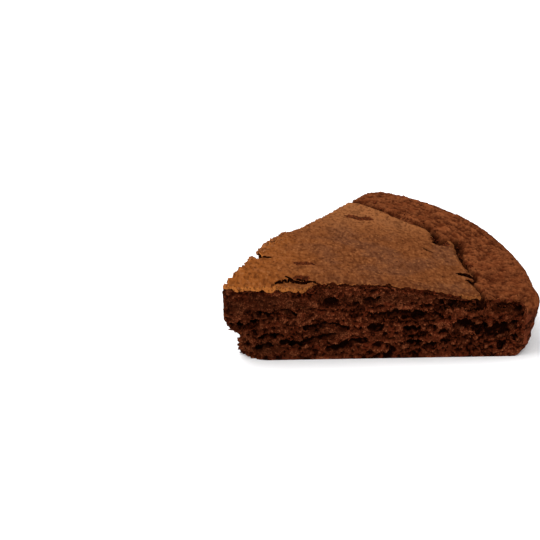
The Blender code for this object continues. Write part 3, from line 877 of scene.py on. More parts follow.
def cells(place, size, seed):
    """The foam's pattern of cells, a little flattened."""
    return cell_pattern(Vector((place.x / size + seed, place.y / size, 1.35 * place.z / size)), 7.31)


def clumps(place, size, seed, spread, gap):
    """Relief of clumps that broke at different depths, with gaps between them."""
    near, following, chance = cells(place, size, seed)
    return spread * (chance - 0.5) - gap * (1.0 - smooth(0.0, 0.22, following - near))


def pores(place, size, seed, share_open, depth):
    """Relief of round pores in some of the cells of a pattern."""
    near, _, chance = cells(place, size, seed)
    return -depth * (1.0 - smooth(0.15, 0.55, near)) if chance < share_open else 0.0


def oval_share(from_tip, height, ovals, wavy):
    """1 in the middle of one of the front cut's ovals, falling to 0 at its border, in millimetres."""
    best = 0.0
    for middle, middle_height, half_width, half_height in ovals:
        if abs(from_tip - middle) < 2.0 * half_width and abs(height - middle_height) < 2.0 * half_height:
            away = math.hypot((from_tip - middle) / half_width, (height - middle_height) / half_height)
            best = max(best, 1.0 - smooth(0.75, 1.25, away + wavy))
    return best


def groove_share(from_tip, height):
    """1 in the mouth of one of the front cut's tears, falling to 0 at its jagged lips."""
    from_tip += 0.7 * bumps(from_tip, height, 1.6, 5.3)
    height += 0.7 * bumps(from_tip, height, 1.6, 8.9)
    best = 0.0
    for line, opening in FRONT_TEARS:
        lowest, highest = min(point[1] for point in line), max(point[1] for point in line)
        if line[0][0] - 1.5 < from_tip < line[-1][0] + 1.5 and lowest - 1.5 < height < highest + 1.5:
            away = distance_to_line(from_tip, height, line)
            best = max(best, 1.0 - smooth(0.25 * opening, 0.60 * opening, away))
    return best


def dense_share(place):
    """1 in the middle of a dense patch, falling to 0 at its border."""
    wavy = 0.5 * bumps(place.x, place.z, 4 * MM, 1.1)
    if behind(place, FRONT_OUT) > behind(place, BACK_OUT):
        under = (crust_height(place.x, place.y) - place.z) / MM
        return 1.0 - smooth(0.6 * BACK_DENSE_BAND, BACK_DENSE_BAND, under + wavy)
    return oval_share((place.x - TIP.x) / MM, place.z / MM, DENSE_PATCHES, wavy)


def foam(place, dense):
    """Relief of torn foam at a point of the crumb's surface, quieter where the crumb is dense."""
    openness = 1.0 - 0.45 * dense
    from_tip = (place - TIP).xy.length
    clumpy = openness * (0.65 + 0.35 * smooth(40 * MM, 60 * MM, from_tip))
    warped = place + 0.8 * MM * noise.noise_vector(place / (4 * MM))
    level = Vector((place.x / (7 * MM), place.y / (7 * MM), warped.z / (1.0 * MM)))
    relief = 0.40 * MM * noise.noise(place / (8 * MM)) + 0.42 * MM * noise.noise(level) * openness
    relief += clumps(warped, *LARGE_CLUMPS) * clumpy
    relief += clumps(place, *SMALL_CLUMPS) * (0.4 + 0.6 * openness)
    relief += clumps(warped, *GRAINS)
    holes = min(pores(warped, *LARGE_PORES), pores(warped, *MIDDLE_PORES), pores(place, *SMALL_PORES))
    return relief + holes * clumpy


def front_forms(place):
    """How much of a groove and of a light clump there is at a point of the front cut."""
    if behind(place, FRONT_OUT) > 4 * MM:
        return 0.0, 0.0
    from_tip, height = (place.x - TIP.x) / MM, place.z / MM
    groove = groove_share(from_tip, height)
    clump = oval_share(from_tip, height, LIGHT_CLUMPS, 0.8 * bumps(place.x, place.z, 0.9 * MM, 2.7))
    return groove, clump * (1.0 - groove)


def press_into_shape(piece):
    """Presses the spun wedge under the true dome, swells its side and bites its tip."""
    shaped = []
    for place in points_of(piece):
        radius = math.hypot(place.x, place.y)
        inner = crust_height(place.x, place.y) - CRUST_COVER - under_cracks(place.x, place.y)
        outer = ring_height(place.x, place.y) + 0.9 * ring_relief(place.x, place.y) - RIND_COVER
        outside = radius - crust_edge_radius(math.atan2(place.y, place.x))
        top = inner + (outer - inner) * smooth(-2.0 * MM, -1.0 * MM, outside)
        place.z *= top / spun_top(radius)
        shaped.append(bitten(swell_side(place)))
    put_points(piece, shaped)


def tear_the_cuts(piece):
    """Gives both cuts their foam, and keeps how high each point stands and how dense the crumb is there."""
    places, reliefs, depths, dense_values, grooves = [], [], [], [], []
    for point in piece.data.vertices:
        place = point.co.copy()
        outwards = min((FRONT_OUT, BACK_OUT), key=lambda side: behind(place, side))
        inside = min(behind(place, outwards), (place - TIP).xy.length - 11 * MM)
        under = crust_height(place.x, place.y) - place.z
        depths.append(min(inside, under, PAN_RADIUS - math.hypot(place.x, place.y)))
        near_cut = 1.0 - smooth(0.6 * MM, 3.0 * MM, inside)
        turned_away = 1.0 - smooth(0.1, 0.6, point.normal.dot(outwards))
        in_hollow = HOLLOW_QUIET * turned_away * smooth(0.0, 0.6 * MM, inside)
        dense_values.append(dense_share(place))
        groove, clump = front_forms(place)
        grooves.append(groove * smooth(3.0 * MM, 1.5 * MM, inside))
        reliefs.append(foam(place, dense_values[-1]) + CLUMP_RISE * clump - GROOVE_DEPTH * groove)
        facing = (outwards * near_cut + point.normal).normalized()
        place += facing * reliefs[-1] * near_cut * (1.0 - in_hollow) * smooth(0.0, 0.6 * MM, place.z)
        place += BACK_OUT * back_bulge(place)
        place.z = max(place.z, 0.0)
        places.append(place)
    put_points(piece, places)
    # Depth below the surfaces and the mouths of the tears are kept for painted shade in the hollows.
    lowest, highest = np.percentile(reliefs, (10, 90))
    shaded_hollow = np.clip((np.asarray(depths) - 1.0 * MM) / (2.5 * MM), 0.0, 1.0)
    keep_value(piece, "relief", (np.asarray(reliefs) - lowest) / (highest - lowest))
    keep_value(piece, "shaded_hollow", np.maximum(shaded_hollow, grooves))
    keep_value(piece, "dense", dense_values)
    print("The foam's relief runs from", round(lowest / MM, 2), "to", round(highest / MM, 2), "mm")


def refine_cuts(piece):
    """Splits the squares near both cuts into four."""
    def near_cut(middle, normal):
        inside = min(behind(middle, FRONT_OUT), behind(middle, BACK_OUT))
        return middle.z > 0.1 * MM and inside < (FINE_DEPTH if normal.z < 0.9 else 1.8 * MM)

    select_faces(piece, near_cut)
    bpy.ops.mesh.subdivide(number_cuts=1)
    bpy.ops.object.mode_set(mode="OBJECT")


def thin_out_base(piece):
    """Merges the many squares of the flat base."""
    select_faces(piece, lambda middle, normal: middle.z < 0.02 * MM and normal.z < -0.99)
    bpy.ops.mesh.dissolve_limited(angle_limit=math.radians(1.0))
    bpy.ops.object.mode_set(mode="OBJECT")


def trim_fins(piece):
    """Takes away the few stray faces of the base that hang on by one side where the tip is bitten."""
    pick(piece)
    bpy.ops.object.mode_set(mode="EDIT")
    bpy.ops.mesh.select_mode(type="EDGE")
    bpy.ops.mesh.select_all(action="DESELECT")
    bpy.ops.mesh.select_non_manifold(
        extend=False, use_multi_face=False, use_non_contiguous=False, use_verts=False
    )
    bpy.ops.mesh.select_mode(use_expand=True, type="FACE")
    bpy.ops.mesh.delete(type="FACE")
    bpy.ops.object.mode_set(mode="OBJECT")


finish_with(crumb, "REMESH", mode="VOXEL", voxel_size=CRUMB_VOXEL)
refine_cuts(crumb)
press_into_shape(crumb)
tear_the_cuts(crumb)
thin_out_base(crumb)
print("Sculpted, the crumb has", triangles_in(crumb), "triangles")
finish_with(crumb, "DECIMATE", ratio=min(1.0, CRUMB_TRIANGLES / triangles_in(crumb)))
trim_fins(crumb)
crumb.data.shade_smooth()
print("Thinned out, it has", triangles_in(crumb), "triangles")

# %% [markdown]
# ## The crust
#
# The dome's crust is a dry, smooth sheet about a millimetre thick. It ends in a ragged lip that stands over
# the ring, and near the tip its front strip has cracked off and sunk. It could be painted on to the crumb,
# but a lip that throws a shadow needs an edge of its own. So an arc is spun into a sheet, trimmed by the
# same knife, torn open along its cracks, pressed to the dome's heights and given its thickness.

# %% Roll out the crust
CRUST_THICKNESS = 1.1 * MM
CRISP_ANGLE = math.radians(58)
# The crust's broken sides look like crumb of this relief, from 0 in a pore to 1 on a torn edge: in cracks,
# at cuts. The low value darkens the sides of the cracks with painted shade.
CRUST_SIDE_RELIEF = (0.15, 0.35)
# Near the tip and at the other end of the front cut they are browned like the top: distances from the tip.
BROWNED_SIDES = (30 * MM, 80 * MM)
# How ragged the crust is beyond them, as a share of its raggedness near the tip.
FRONT_RAGGED_SHARE = 0.65
CRUST_STEP = 0.6 * MM
FRAY_REACH = 5.0 * MM
# How far the crust stops short of the front and of the back cut, by distance from the tip, in millimetres.
FRONT_RECESS = (
    (0.0, -0.2), (25.0, -0.2), (28.0, 0.2), (29.8, 0.6), (30.2, -0.4), (33.5, -0.2), (37.0, 1.2),
    (46.0, 1.4), (52.0, 2.0), (56.0, 2.8), (60.0, 1.0), (70.0, 0.8), (74.0, 1.0), (77.0, -0.4),
    (79.8, -0.2), (80.2, 1.7), (85.0, 0.3),
)
BACK_RECESS = (
    (0.0, 0.2), (15.0, 0.0), (21.0, -0.5), (24.5, -1.0), (26.5, 0.2), (28.6, 0.4), (30.0, 2.4),
    (31.6, 1.6), (33.0, 0.8), (36.0, 1.0), (48.0, 1.0), (56.0, 0.6), (60.5, -0.4), (63.0, 0.2),
    (70.0, 0.0), (78.0, 0.3), (90.0, 1.1), (99.0, 1.1), (110.0, 0.0),
)
# The cuts as the crust meets them: direction along, direction out, recess and seed.
CRUST_CUTS = ((FRONT_ALONG, FRONT_OUT, FRONT_RECESS, 1.0), (BACK_ALONG, BACK_OUT, BACK_RECESS, 5.0))
# Layers of noise along the cuts that give the crust teeth and let it droop: millimetres, sizes and seeds.
EDGE_TEETH = ((1.1, 2.5 * MM, 0), (0.8, 0.9 * MM, 3))
EDGE_DROOP = ((1.8, 2.1 * MM, 7), (0.9, 0.8 * MM, 9))
# Dimples, wrinkles and fine wrinkles: heights, sizes and seeds. Pinholes are in half of the cells.
CRUST_LAYERS = ((0.24 * MM, 12 * MM, 1.3), (0.16 * MM, 3.6 * MM, 7.7), (0.09 * MM, 1.4 * MM, 4.2))
PINHOLE_SPACING = 6 * MM
PINHOLE_DEPTH = 0.5 * MM
PINHOLE_SHARE = 0.5
NEAR_CUT = 1.6 * MM
NEAR_CRACK = 0.9 * MM


def crust_relief(x, y):
    """Fine relief of the crust: soft dimples, wrinkles and pinholes."""
    near, _, chance = cell_pattern(Vector((x, y, 0.03)) / PINHOLE_SPACING, 5.7)
    pinhole = PINHOLE_DEPTH * (1.0 - smooth(0.04, 0.13, near)) if chance < PINHOLE_SHARE else 0.0
    return layered(x, y, CRUST_LAYERS) - pinhole


def lip_lift(outside):
    """How the crust's lip curls up and dips again at its very edge."""
    return 0.4 * MM * bell(outside + 1.6 * MM, 1.3 * MM) - 0.4 * MM * smooth(-0.8 * MM, 0.0, outside)


def raggedness(distance, outwards):
    """How ragged the crust's edge is along a cut: whole at the very tip, and calmer again far from it."""
    share = smooth(0.5 * MM, 3 * MM, distance)
    if outwards == BACK_OUT:
        return share * (1.0 - 0.7 * smooth(61 * MM, 65 * MM, distance))
    return share * (1.0 + (FRONT_RAGGED_SHARE - 1.0) * smooth(28 * MM, 33 * MM, distance))


def frayed(place):
    """A point of the crust near a cut, pulled out or in to a crumbly edge."""
    for along, outwards, recess, seed in CRUST_CUTS:
        inside = behind(place, outwards)
        if inside < FRAY_REACH:
            distance = (place - TIP).dot(along)
            back = np.interp(distance / MM, *zip(*recess))
            tooth = 0.2 + layered(distance, 0.0, EDGE_TEETH, seed)
            droop = 0.2 + layered(distance, 0.0, EDGE_DROOP, seed)
            torn = raggedness(distance, outwards)
            pull = tooth * torn * (1.0 - smooth(0.0, 1.4 * MM, inside)) - back * (1.0 - inside / FRAY_REACH)
            place += outwards * MM * float(pull)
            place.z -= max(droop, -0.3) * MM * torn * (1.0 - smooth(0.0, 0.9 * MM, inside))
    return place + BACK_OUT * back_bulge(place)


def stretch_to_edge(piece):
    """Moves the sheet's outer rings to the ragged edge."""
    places = []
    for place in points_of(piece):
        growth = crust_edge_radius(math.atan2(place.y, place.x)) - CRUST_RADIUS
        places.append(place * (1.0 + growth * smooth(70 * MM, CRUST_RADIUS, place.length) / place.length))
    put_points(piece, places)


def needs_finer(middle, normal):
    """True for a face beside a cut or a crack."""
    x, y, _ = middle
    if min(behind(middle, FRONT_OUT), behind(middle, BACK_OUT)) < NEAR_CUT or flaked(x, y) > 0.0:
        return True
    return any(distance_to_line(x, y, line) < width + NEAR_CRACK for line, width, _ in CRUST_CRACKS)


def press_crust(piece):
    """Presses the sheet to the dome, frays its cut edges, and keeps how near they are and where it flaked."""
    places, edge_values, flaked_values = [], [], []
    for place in points_of(piece):
        edge_values.append(1.0 - min(behind(place, FRONT_OUT), behind(place, BACK_OUT)) / (2 * MM))
        flaked_values.append(flaked(place.x, place.y))
        outside = math.hypot(place.x, place.y) - crust_edge_radius(math.atan2(place.y, place.x))
        place.z = crust_height(place.x, place.y) + crust_relief(place.x, place.y) + lip_lift(outside)
        place.z -= FLAKE_DEPTH * flaked_values[-1]
        places.append(frayed(place))
    put_points(piece, places)
    keep_value(piece, "edge", edge_values)
    keep_value(piece, "flaked", flaked_values)
    keep_value(piece, "relief", np.interp(edge_values, (0.0, 1.0), CRUST_SIDE_RELIEF))


def thicken(piece, thickness):
    """Gives a sheet its thickness, downwards, with its second material and crisp edges on its sides."""
    pick(piece)
    for _ in range(2):
        bpy.ops.object.material_slot_add()
    finish_with(
        piece, "SOLIDIFY", thickness=thickness, offset=-1.0, use_even_offset=False, material_offset_rim=1
    )
    bpy.ops.object.shade_smooth_by_angle(angle=CRISP_ANGLE)


def browned_side(middle, normal):
    """True for a face of the crust near the front cut where the sides are browned like the top."""
    distance = (middle - TIP).dot(FRONT_ALONG)
    return behind(middle, FRONT_OUT) < 2 * MM and not BROWNED_SIDES[0] < distance < BROWNED_SIDES[1]


def roll_out_crust():
    """The whole crust, from the arc to its thickness."""
    reach = CRUST_RADIUS - SECTION_START
    count = round(reach / CRUST_STEP)
    arc = around([(SECTION_START + reach * step / count, 0.0) for step in range(count + 1)])
    piece = new_piece("crust", arc, [(step, step + 1) for step in range(count)])
    spin(piece, round(CRUST_RADIUS * SWEEP / CRUST_STEP))
    stretch_to_edge(piece)
    knife(piece, fill=False)
    select_faces(piece, needs_finer)
    bpy.ops.mesh.subdivide(number_cuts=1)
    bpy.ops.object.mode_set(mode="OBJECT")
    select_faces(piece, lambda middle, normal: in_crack(middle.x, middle.y))
    bpy.ops.mesh.delete(type="FACE")
    bpy.ops.object.mode_set(mode="OBJECT")
    press_crust(piece)
    thicken(piece, CRUST_THICKNESS)
    select_faces(piece, browned_side)
    piece.active_material_index = 0
    bpy.ops.object.material_slot_assign()
    bpy.ops.object.mode_set(mode="OBJECT")
    return piece


crust = roll_out_crust()
print("The crust has", triangles_in(crust), "triangles")

# %% [markdown]
# ## The ring and the side
#
# Outside the crust the batter climbed the pan and baked first. It is a coarse, darker ring, and it turns
# over a rounded edge into the side that lay against the metal. One section, from under the lip over the
# ring and down to the foot, is spun, cut, roughened and given its thickness.

# %% Turn the ring and the side
RIND_THICKNESS = 1.0 * MM
RIND_STEP = 0.55 * MM
RIND_START = 87 * MM
# Where the knife went through the side, the skin's edge gets a painted highlight, as light as if it stood
# this much higher.
CUT_SKIN_HIGHLIGHT = 0.35 * MM


def evenly(points, step):
    """A bent line laid out again with points a step apart."""
    runs = [math.dist(first, second) for first, second in zip(points, points[1:])]
    ends = np.concatenate([[0.0], np.cumsum(runs)])
    places = np.linspace(0.0, ends[-1], round(ends[-1] / step) + 1)
    columns = [np.interp(places, ends, [point[axis] for point in points]) for axis in (0, 1)]
    return list(zip(*columns))


def torn_back(place):
    """A point of the rind near a cut, pulled in to a rough edge, level with the torn crumb."""
    for outwards in (FRONT_OUT, BACK_OUT):
        ragged = 0.8 + 0.7 * noise.noise(place / (1.6 * MM)) + 0.5 * noise.noise(place / (0.8 * MM))
        near = 1.0 - smooth(0.0, 3.0 * MM, behind(place, outwards))
        place = place - outwards * ragged * MM * near * smooth(0.0, 2.0 * MM, place.z)
    return place


def roughen_rind(piece):
    """Moves the plain sheet to the ring's and the side's uneven forms, and keeps how high each point lies."""
    places, values, shaded = [], [], []
    for plain in points_of(piece):
        radius, angle = math.hypot(plain.x, plain.y), math.atan2(plain.y, plain.x)
        on_top = 1.0 - smooth(RIM_START + 1 * MM, PAN_RADIUS, radius) if plain.z > RING_HEIGHT / 2 else 0.0
        place = swell_side(plain)
        relief = ring_relief(place.x, place.y)
        higher = swell(angle, RING_LOBES)
        place.z *= (RING_HEIGHT + higher) / RING_HEIGHT
        place.z += (ring_height(place.x, place.y) - RING_HEIGHT - higher + relief) * on_top
        places.append(torn_back(place))
        # The side's relief here sets only its painted light and shade, with a painted highlight along the
        # cut.
        side = side_relief(angle * PAN_RADIUS, plain.z)
        side += CUT_SKIN_HIGHLIGHT * bell(behind(place, FRONT_OUT), 0.5 * MM)
        # Painted light and shade: the kept value is higher where the ring or side stands out and lower in the
        # crevice.
        value = 0.5 + relief * on_top / (1.6 * MM) + side * (1.0 - on_top) / (0.8 * MM)
        values.append(value - 0.4 * crevice(place.x, place.y))
        # Painted shade in the crevice beside the crust's lip, kept for the finish.
        uneven = 0.8 + 1.2 * bumps(place.x, 0.6 * place.y, 1.6 * MM, 7.4)
        shaded.append(crevice(place.x, place.y) * uneven * on_top)
    put_points(piece, places)
    keep_value(piece, "relief", values)
    keep_value(piece, "shaded_hollow", shaded)


def turn_rind():
    """The whole rind, from its section to its thickness."""
    section = evenly([(FOOT_RADIUS, 0.0)] + wall_section(0.0, 6)[1:] + [(RIND_START, RING_HEIGHT)], RIND_STEP)
    piece = new_piece("rind", around(section), [(step, step + 1) for step in range(len(section) - 1)])
    spin(piece, round(PAN_RADIUS * SWEEP / RIND_STEP))
    knife(piece, fill=False)
    roughen_rind(piece)
    thicken(piece, RIND_THICKNESS)
    return piece


rind = turn_rind()
print("The rind has", triangles_in(rind), "triangles")

# %% [markdown]
# ## Loose crumbs
#
# A knife drags crumbs along. They cling to the torn edges of the crust, to the cuts and to the crevice in
# the ring. Each is a small ball, dented by noise, set on the surface that a ray from outside finds.

# %% Scatter the crumbs
CRUMB_SEED = 5
# Larger crumbs on the torn edge of the second cut: distance from the tip, how far out, and size, in
# millimetres.
BACK_EDGE_CRUMBS = (
    (27.0, 0.9, 3.0), (25.2, 1.0, 1.3), (23.4, 0.6, 1.1), (35.4, 1.6, 2.2), (37.4, 2.2, 2.7),
    (39.4, 2.7, 2.0), (41.4, 2.5, 2.5), (43.6, 2.9, 1.8), (45.6, 2.6, 2.3), (48.0, 2.9, 1.8),
    (50.4, 2.7, 2.0), (53.0, 2.9, 1.6), (55.4, 2.8, 1.5), (57.6, 2.9, 1.6), (59.6, 3.0, 1.3),
    (61.2, 2.2, 1.0),
)
# Crumbs strewn by the cuts: how many and on which piece, the direction along the cut and the span of
# distances from the tip, the direction across and its span, the side that they come from, and the span of
# their sizes.
STREWN_CRUMBS = (
    (90, crumb, FRONT_ALONG, (3.0, 101.0), UP, (1.0, 21.0), FRONT_OUT, (0.4, 0.95)),
    (90, crust, FRONT_ALONG, (0.5, 88.0), -FRONT_OUT, (-0.1, 0.5), UP, (0.3, 0.7)),
    (70, crust, BACK_ALONG, (1.0, 62.0), -BACK_OUT, (-2.4, 0.6), UP, (0.4, 1.1)),
    (60, crumb, BACK_ALONG, (2.0, 132.0), UP, (1.0, 20.0), BACK_OUT, (0.6, 1.3)),
)
ABOVE_CRUST = 20 * MM
# Crumbs in the crevice: angles round the pan in degrees, distances beyond the crust's edge, and sizes.
CREVICE_CRUMBS = 46
CREVICE_ANGLES = (-16.0, 50.0)
CREVICE_REACH = (0.0, 3.2)
CREVICE_SIZES = (0.6, 1.6)


def one_crumb(place, size, draw):
    """Adds one lumpy crumb at a place."""
    bpy.ops.mesh.primitive_ico_sphere_add(subdivisions=2, radius=0.5)
    made = bpy.context.object
    stretch = Matrix.Diagonal((size, size * draw.uniform(0.7, 1.0), size * draw.uniform(0.5, 0.9), 1.0))
    turn = Matrix.Rotation(draw.uniform(0.0, math.tau), 4, "Z")
    tilt = Matrix.Rotation(draw.uniform(-0.6, 0.6), 4, "X")
    made.data.transform(Matrix.Translation(place) @ (turn @ tilt) @ stretch)
    dent(made, 0.45 * size, 0.5 * size, Vector((draw.uniform(0.0, 50.0), 0.0, 0.0)))
    return made


def on_surface(piece, place, outwards):
    """Where a ray from outside meets a piece, or nothing."""
    hit, where, _, _ = piece.ray_cast(place + outwards * 12 * MM, -outwards, distance=24 * MM)
    return where if hit else None


def scatter_crumbs():
    """All the loose crumbs, joined."""
    draw = random.Random(CRUMB_SEED)
    spots = []
    for distance, outwards, size in BACK_EDGE_CRUMBS:
        place = TIP + BACK_ALONG * distance * MM + BACK_OUT * outwards * MM
        spots.append((place + UP * (crust_height(place.x, place.y) - 0.3 * size * MM), size * MM))
    for count, piece, along, distances, across, reach, outwards, sizes in STREWN_CRUMBS:
        for _ in range(count):
            place = TIP + along * draw.uniform(*distances) * MM + across * draw.uniform(*reach) * MM
            if outwards == UP:
                place += UP * ABOVE_CRUST
            spots.append((on_surface(piece, place, outwards), draw.uniform(*sizes) * MM))
    for _ in range(CREVICE_CRUMBS):
        angle = math.radians(draw.uniform(*CREVICE_ANGLES))
        radius = crust_edge_radius(angle) + draw.uniform(*CREVICE_REACH) * MM
        place = Vector((radius * math.cos(angle), radius * math.sin(angle), 20 * MM))
        spots.append((on_surface(rind, place, UP), draw.uniform(*CREVICE_SIZES) * MM))
    piece = join([one_crumb(place, size, draw) for place, size in spots if place])
    piece.name = "loose_crumbs"
    piece.data.shade_smooth()
    return piece


loose = scatter_crumbs()
print("The loose crumbs have", triangles_in(loose), "triangles")

# %% [markdown]
# ## Mixing the finishes
#
# Each finish is a node tree. Written out node by node it would be hard to read, so a wire between nodes is
# wrapped in a small class that knows arithmetic, and every other node comes from one method.

# %% A small kit for materials
class Wire:
    """A value that runs between a material's nodes, with arithmetic."""

    def __init__(self, finish, socket):
        self.finish = finish
        self.socket = socket

    def maths(self, operation, first, second):
        return self.finish.node("ShaderNodeMath", {"operation": operation}, {0: first, 1: second})

    def __add__(self, other):
        return self.maths("ADD", self, other)

    def __sub__(self, other):
        return self.maths("SUBTRACT", self, other)

    def __rsub__(self, other):
        return self.maths("SUBTRACT", other, self)

    def __mul__(self, other):
        return self.maths("MULTIPLY", self, other)

    __radd__ = __add__
    __rmul__ = __mul__


class Finish:
    """A material while it is mixed."""

    def __init__(self, name):
        self.material = bpy.data.materials.new(name)
        self.material.use_nodes = True
        self.tree = self.material.node_tree
        self.shader = self.tree.nodes["Principled BSDF"]
        self.place = self.node("ShaderNodeTexCoord", {}, {}, "Object")

    def feed(self, socket, value):
        """Links a wire to a socket, or sets the socket's own value."""
        if isinstance(value, Wire):
            self.tree.links.new(value.socket, socket)
        else:
            socket.default_value = value

    def node(self, kind, settings, inputs, output=0):
        """Adds a node with its settings and inputs, and returns one of its outputs."""
        made = self.tree.nodes.new(kind)
        for name, value in settings.items():
            setattr(made, name, value)
        for name, value in inputs.items():
            self.feed(made.inputs[name], value)
        return Wire(self, made.outputs[output])

    def grain(self, size, detail=2.0, stretch=1.0):
        """Soft noise from 0 to 1 whose spots are of this size, and longer along Y if stretched."""
        drawn = self.node("ShaderNodeMapping", {}, {"Vector": self.place, "Scale": (1.0, 1.0 / stretch, 1.0)})
        inputs = {"Vector": drawn, "Scale": 1.0 / size, "Detail": detail}
        return self.node("ShaderNodeTexNoise", {}, inputs, "Fac")

    def flecks(self, size, output="Color"):
        """A random value for each cell of a pattern of this size, or the distance from a cell's middle."""
        return self.node("ShaderNodeTexVoronoi", {}, {"Vector": self.place, "Scale": 1.0 / size}, output)

    def kept(self, name):
        """A value that was kept for each point."""
        return self.node("ShaderNodeAttribute", {"attribute_name": name}, {}, "Fac")

    def place_along(self, axis):
        """A point's place along one axis, in metres."""
        return self.node("ShaderNodeSeparateXYZ", {}, {"Vector": self.place}, axis)

    def rise(self, value, low, high):
        """0 where a value is at low or less, 1 at high or more, and a smooth rise between."""
        inputs = {"Value": value, "From Min": low, "From Max": high}
        return self.node("ShaderNodeMapRange", {"interpolation_type": "SMOOTHSTEP"}, inputs)

    def blend(self, share, first, second):
        """Goes from the first colour to the second as the share goes from 0 to 1."""
        return self.node("ShaderNodeMix", {"data_type": "RGBA"}, {0: share, 6: first, 7: second}, 2)

    def set(self, **inputs):
        """Sets the shader's inputs; an underscore in a name stands for a space."""
        for name, value in inputs.items():
            self.feed(self.shader.inputs[name.replace("_", " ")], value)

    def roughen(self, height, distance):
        """Bumps the surface by a height from 0 to 1 over this distance."""
        self.set(Normal=self.node("ShaderNodeBump", {}, {"Height": height, "Distance": distance}))


LIGHT_LEVEL = 1.45


def shade(red, green, blue):
    """The surface colour that looks like this colour, picked from the photograph, under the lamps."""
    parts = [channel / 255 for channel in (red, green, blue)]
    light = [((part + 0.055) / 1.055) ** 2.4 if part > 0.04045 else part / 12.92 for part in parts]
    return tuple(part / LIGHT_LEVEL for part in light) + (1.0,)


# %% [markdown]
# ## The finishes
#
# Chocolate crumb is a warm brown with redder grains here and there. Its pores are painted nearly black with
# shade, its torn edges are painted lighter as if lit, and its highest points get painted highlights. The
# depth kept with the mesh drives that, and noise breaks it up. The crust is lighter and dry, finely
# speckled, greyer in broad patches and orange towards the tip, with painted light towards the back, painted
# shade in its pinholes and torn edges that are paler, partly with painted highlights. The rind is a red
# brown, darkened with painted shade in its valleys and its crevice. All of them are dull: a sheen would lay
# a grey veil over colours as dark as these.

# %% Mix the crumb, the crust, the rind and the loose crumbs
def mix_crumb():
    finish = Finish("chocolate_crumb")
    relief = finish.kept("relief")
    dense = finish.kept("dense")
    # Painted light and shade: the kept relief paints pores dark and torn edges a lighter brown.
    lit = finish.rise(relief + (finish.grain(0.7 * MM, 3.0) - 0.5) * 1.3, 0.05, 0.8)
    base = finish.blend(lit, shade(26, 6, 2), shade(88, 38, 20))
    red = finish.rise(finish.grain(2.4 * MM, 3.0), 0.5, 0.62) * lit
    base = finish.blend(red * 0.5, base, shade(106, 41, 21))
    tip_x = TIP.x + PAN_AXIS.x
    far_end = finish.rise(finish.place_along("X"), tip_x + 62 * MM, tip_x + 84 * MM)
    base = finish.blend(dense * 0.5, base, finish.blend(far_end, shade(46, 20, 9), shade(92, 41, 20)))
    # Painted highlights: the highest points of the relief are lit up light tan, like glints.
    peak_highlight = finish.rise(relief + (finish.grain(0.45 * MM, 2.0) - 0.5) * 1.8, 0.85, 1.3)
    base = finish.blend(peak_highlight * (0.8 - dense * 0.35), base, shade(162, 92, 57))
    # Painted shade: the crumb grows darker towards the tip, taking back some of the left lamp's light there.
    tip_shade = finish.rise(finish.place_along("X"), tip_x + 50 * MM, tip_x + 4 * MM)
    base = finish.blend(tip_shade * 0.24, base, shade(22, 7, 3))
    # Painted shade: deep hollows and the mouths of tears are darkened nearly to black.
    base = finish.blend(finish.kept("shaded_hollow") * 0.9, base, shade(12, 4, 2))
    finish.set(Base_Color=base, Roughness=0.85, Specular_IOR_Level=0.0)
    finish.roughen(finish.grain(0.4 * MM, 3.0), 0.3 * MM)
    return finish.material


def mix_crust():
    finish = Finish("baked_crust")
    tip_x = TIP.x + PAN_AXIS.x
    towards_tip = finish.rise(finish.place_along("X"), tip_x + 46 * MM, tip_x + 2 * MM)
    # Painted light: the crust grows lighter towards the back, where more light falls.
    lit_towards_back = finish.rise(finish.place_along("Y"), -12 * MM, 30 * MM)
    patches = finish.rise(finish.grain(14 * MM, 3.0), 0.40, 0.60)
    base = finish.blend(patches, shade(122, 69, 36), shade(112, 67, 42))
    base = finish.blend(lit_towards_back * 0.8, base, shade(164, 103, 60))
    towards_front = finish.rise(finish.place_along("Y"), -48 * MM, -61 * MM)
    base = finish.blend(towards_front * 0.55, base, shade(98, 52, 28))
    base = finish.blend(towards_tip, base, shade(149, 83, 35))
    blotches = finish.grain(2.2 * MM, 3.0, 2.3)
    base = finish.blend(finish.rise(blotches, 0.52, 0.32) * 0.45, base, shade(78, 39, 18))
    base = finish.blend(finish.rise(blotches, 0.50, 0.68) * 0.42, base, shade(150, 90, 51))
    speckle = finish.grain(0.95 * MM, 3.0, 2.3)
    base = finish.blend(finish.rise(speckle, 0.48, 0.34) * 0.52, base, shade(66, 29, 12))
    base = finish.blend(finish.rise(speckle, 0.54, 0.70) * 0.48, base, shade(170, 108, 62))
    # Painted shade in small pinholes.
    pinholes = finish.rise(finish.flecks(2.6 * MM, "Distance"), 0.17, 0.10)
    base = finish.blend(pinholes * 0.75, base, shade(58, 26, 12))
    fine = finish.grain(0.6 * MM, 3.0, 2.3)
    flaked_off = finish.rise(finish.kept("flaked") + (fine - 0.5) * 1.6, 0.1, 0.55)
    bared = finish.blend(finish.rise(fine, 0.4, 0.65), shade(44, 15, 8), shade(100, 44, 22))
    base = finish.blend(flaked_off * 0.9, base, bared)
    # The crust's torn edges are paler: partly their own colour, partly a painted highlight, strongest towards
    # the tip.
    rim = finish.rise(finish.kept("edge") + (speckle - 0.5) * 1.2, 0.7, 1.0)
    base = finish.blend(rim * (towards_tip * 0.6 + 0.2), base, shade(196, 118, 56))
    finish.set(Base_Color=base, Roughness=0.75, Specular_IOR_Level=0.0)
    finish.roughen(finish.grain(0.8 * MM, 4.0), 0.3 * MM)
    return finish.material


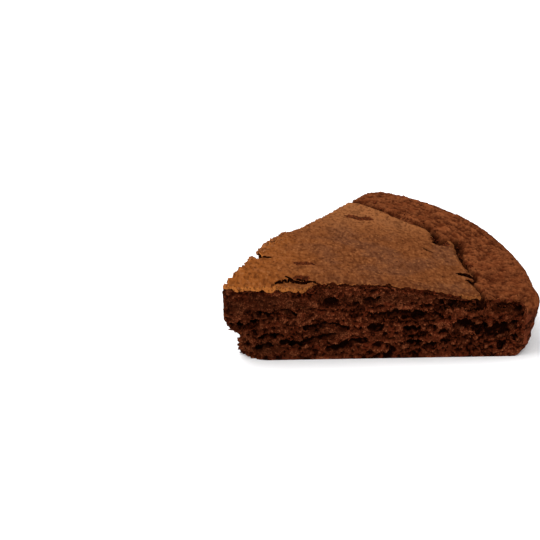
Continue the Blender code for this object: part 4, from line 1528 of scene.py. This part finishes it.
def mix_rind():
    finish = Finish("rough_rind")
    speckle = finish.grain(0.75 * MM, 3.0, 2.0)
    # Painted light and shade: high clods and ridges are lighter, valleys and the crevice darker.
    lit = finish.rise(finish.kept("relief") + (speckle - 0.5) * 1.0, 0.0, 1.0)
    base = finish.blend(lit, shade(68, 28, 12), shade(147, 83, 47))
    red = finish.rise(finish.grain(5 * MM, 3.0), 0.45, 0.62)
    base = finish.blend(red * 0.3, base, shade(126, 62, 31))
    # Painted shade darkens the crevice nearly to black.
    base = finish.blend(finish.kept("shaded_hollow") * 0.8, base, shade(28, 9, 5))
    # The side below the ring has its own darker browns, with the same painted light and shade by relief.
    low = finish.rise(finish.place_along("Z"), 18 * MM, 14 * MM)
    base = finish.blend(low, base, finish.blend(lit, shade(20, 6, 3), shade(114, 55, 34)))
    finish.set(Base_Color=base, Roughness=0.8, Specular_IOR_Level=0.0)
    finish.roughen(finish.grain(0.5 * MM, 3.0, 2.0), 0.16 * MM)
    return finish.material


def mix_loose():
    finish = Finish("loose_crumb")
    lit = finish.rise(finish.grain(0.6 * MM, 3.0), 0.3, 0.7)
    base = finish.blend(lit, shade(58, 22, 11), shade(118, 56, 30))
    # Painted light: crumbs high on the cake are lighter, as if lit from above.
    light = finish.rise(finish.place_along("Z"), 23 * MM, 27 * MM)
    base = finish.blend(light * (lit * 0.5 + 0.35), base, shade(192, 122, 72))
    finish.set(Base_Color=base, Roughness=0.85, Specular_IOR_Level=0.0)
    finish.roughen(finish.grain(0.3 * MM, 2.0), 0.15 * MM)
    return finish.material


chocolate_crumb = mix_crumb()
crumb.data.materials.append(chocolate_crumb)
loose.data.materials.append(mix_loose())
for piece, top_finish in ((crust, mix_crust()), (rind, mix_rind())):
    piece.data.materials[0] = top_finish
    piece.data.materials[1] = chocolate_crumb
print("Finishes:", [piece.data.materials[0].name for piece in (crumb, crust, rind, loose)])

# %% [markdown]
# ## Putting the slice in its place
#
# The pieces were made round the pan's axis. Each mesh is now moved to where the imported slice stands, so
# that its object stays at the origin. Every piece rides on the one body, and the imported solid is hidden.

# %% Place the pieces
for piece in (crumb, crust, rind, loose):
    piece.data.transform(Matrix.Translation(PAN_AXIS))
    piece.data.update()
    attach(piece, "root")
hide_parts("cake_slice")
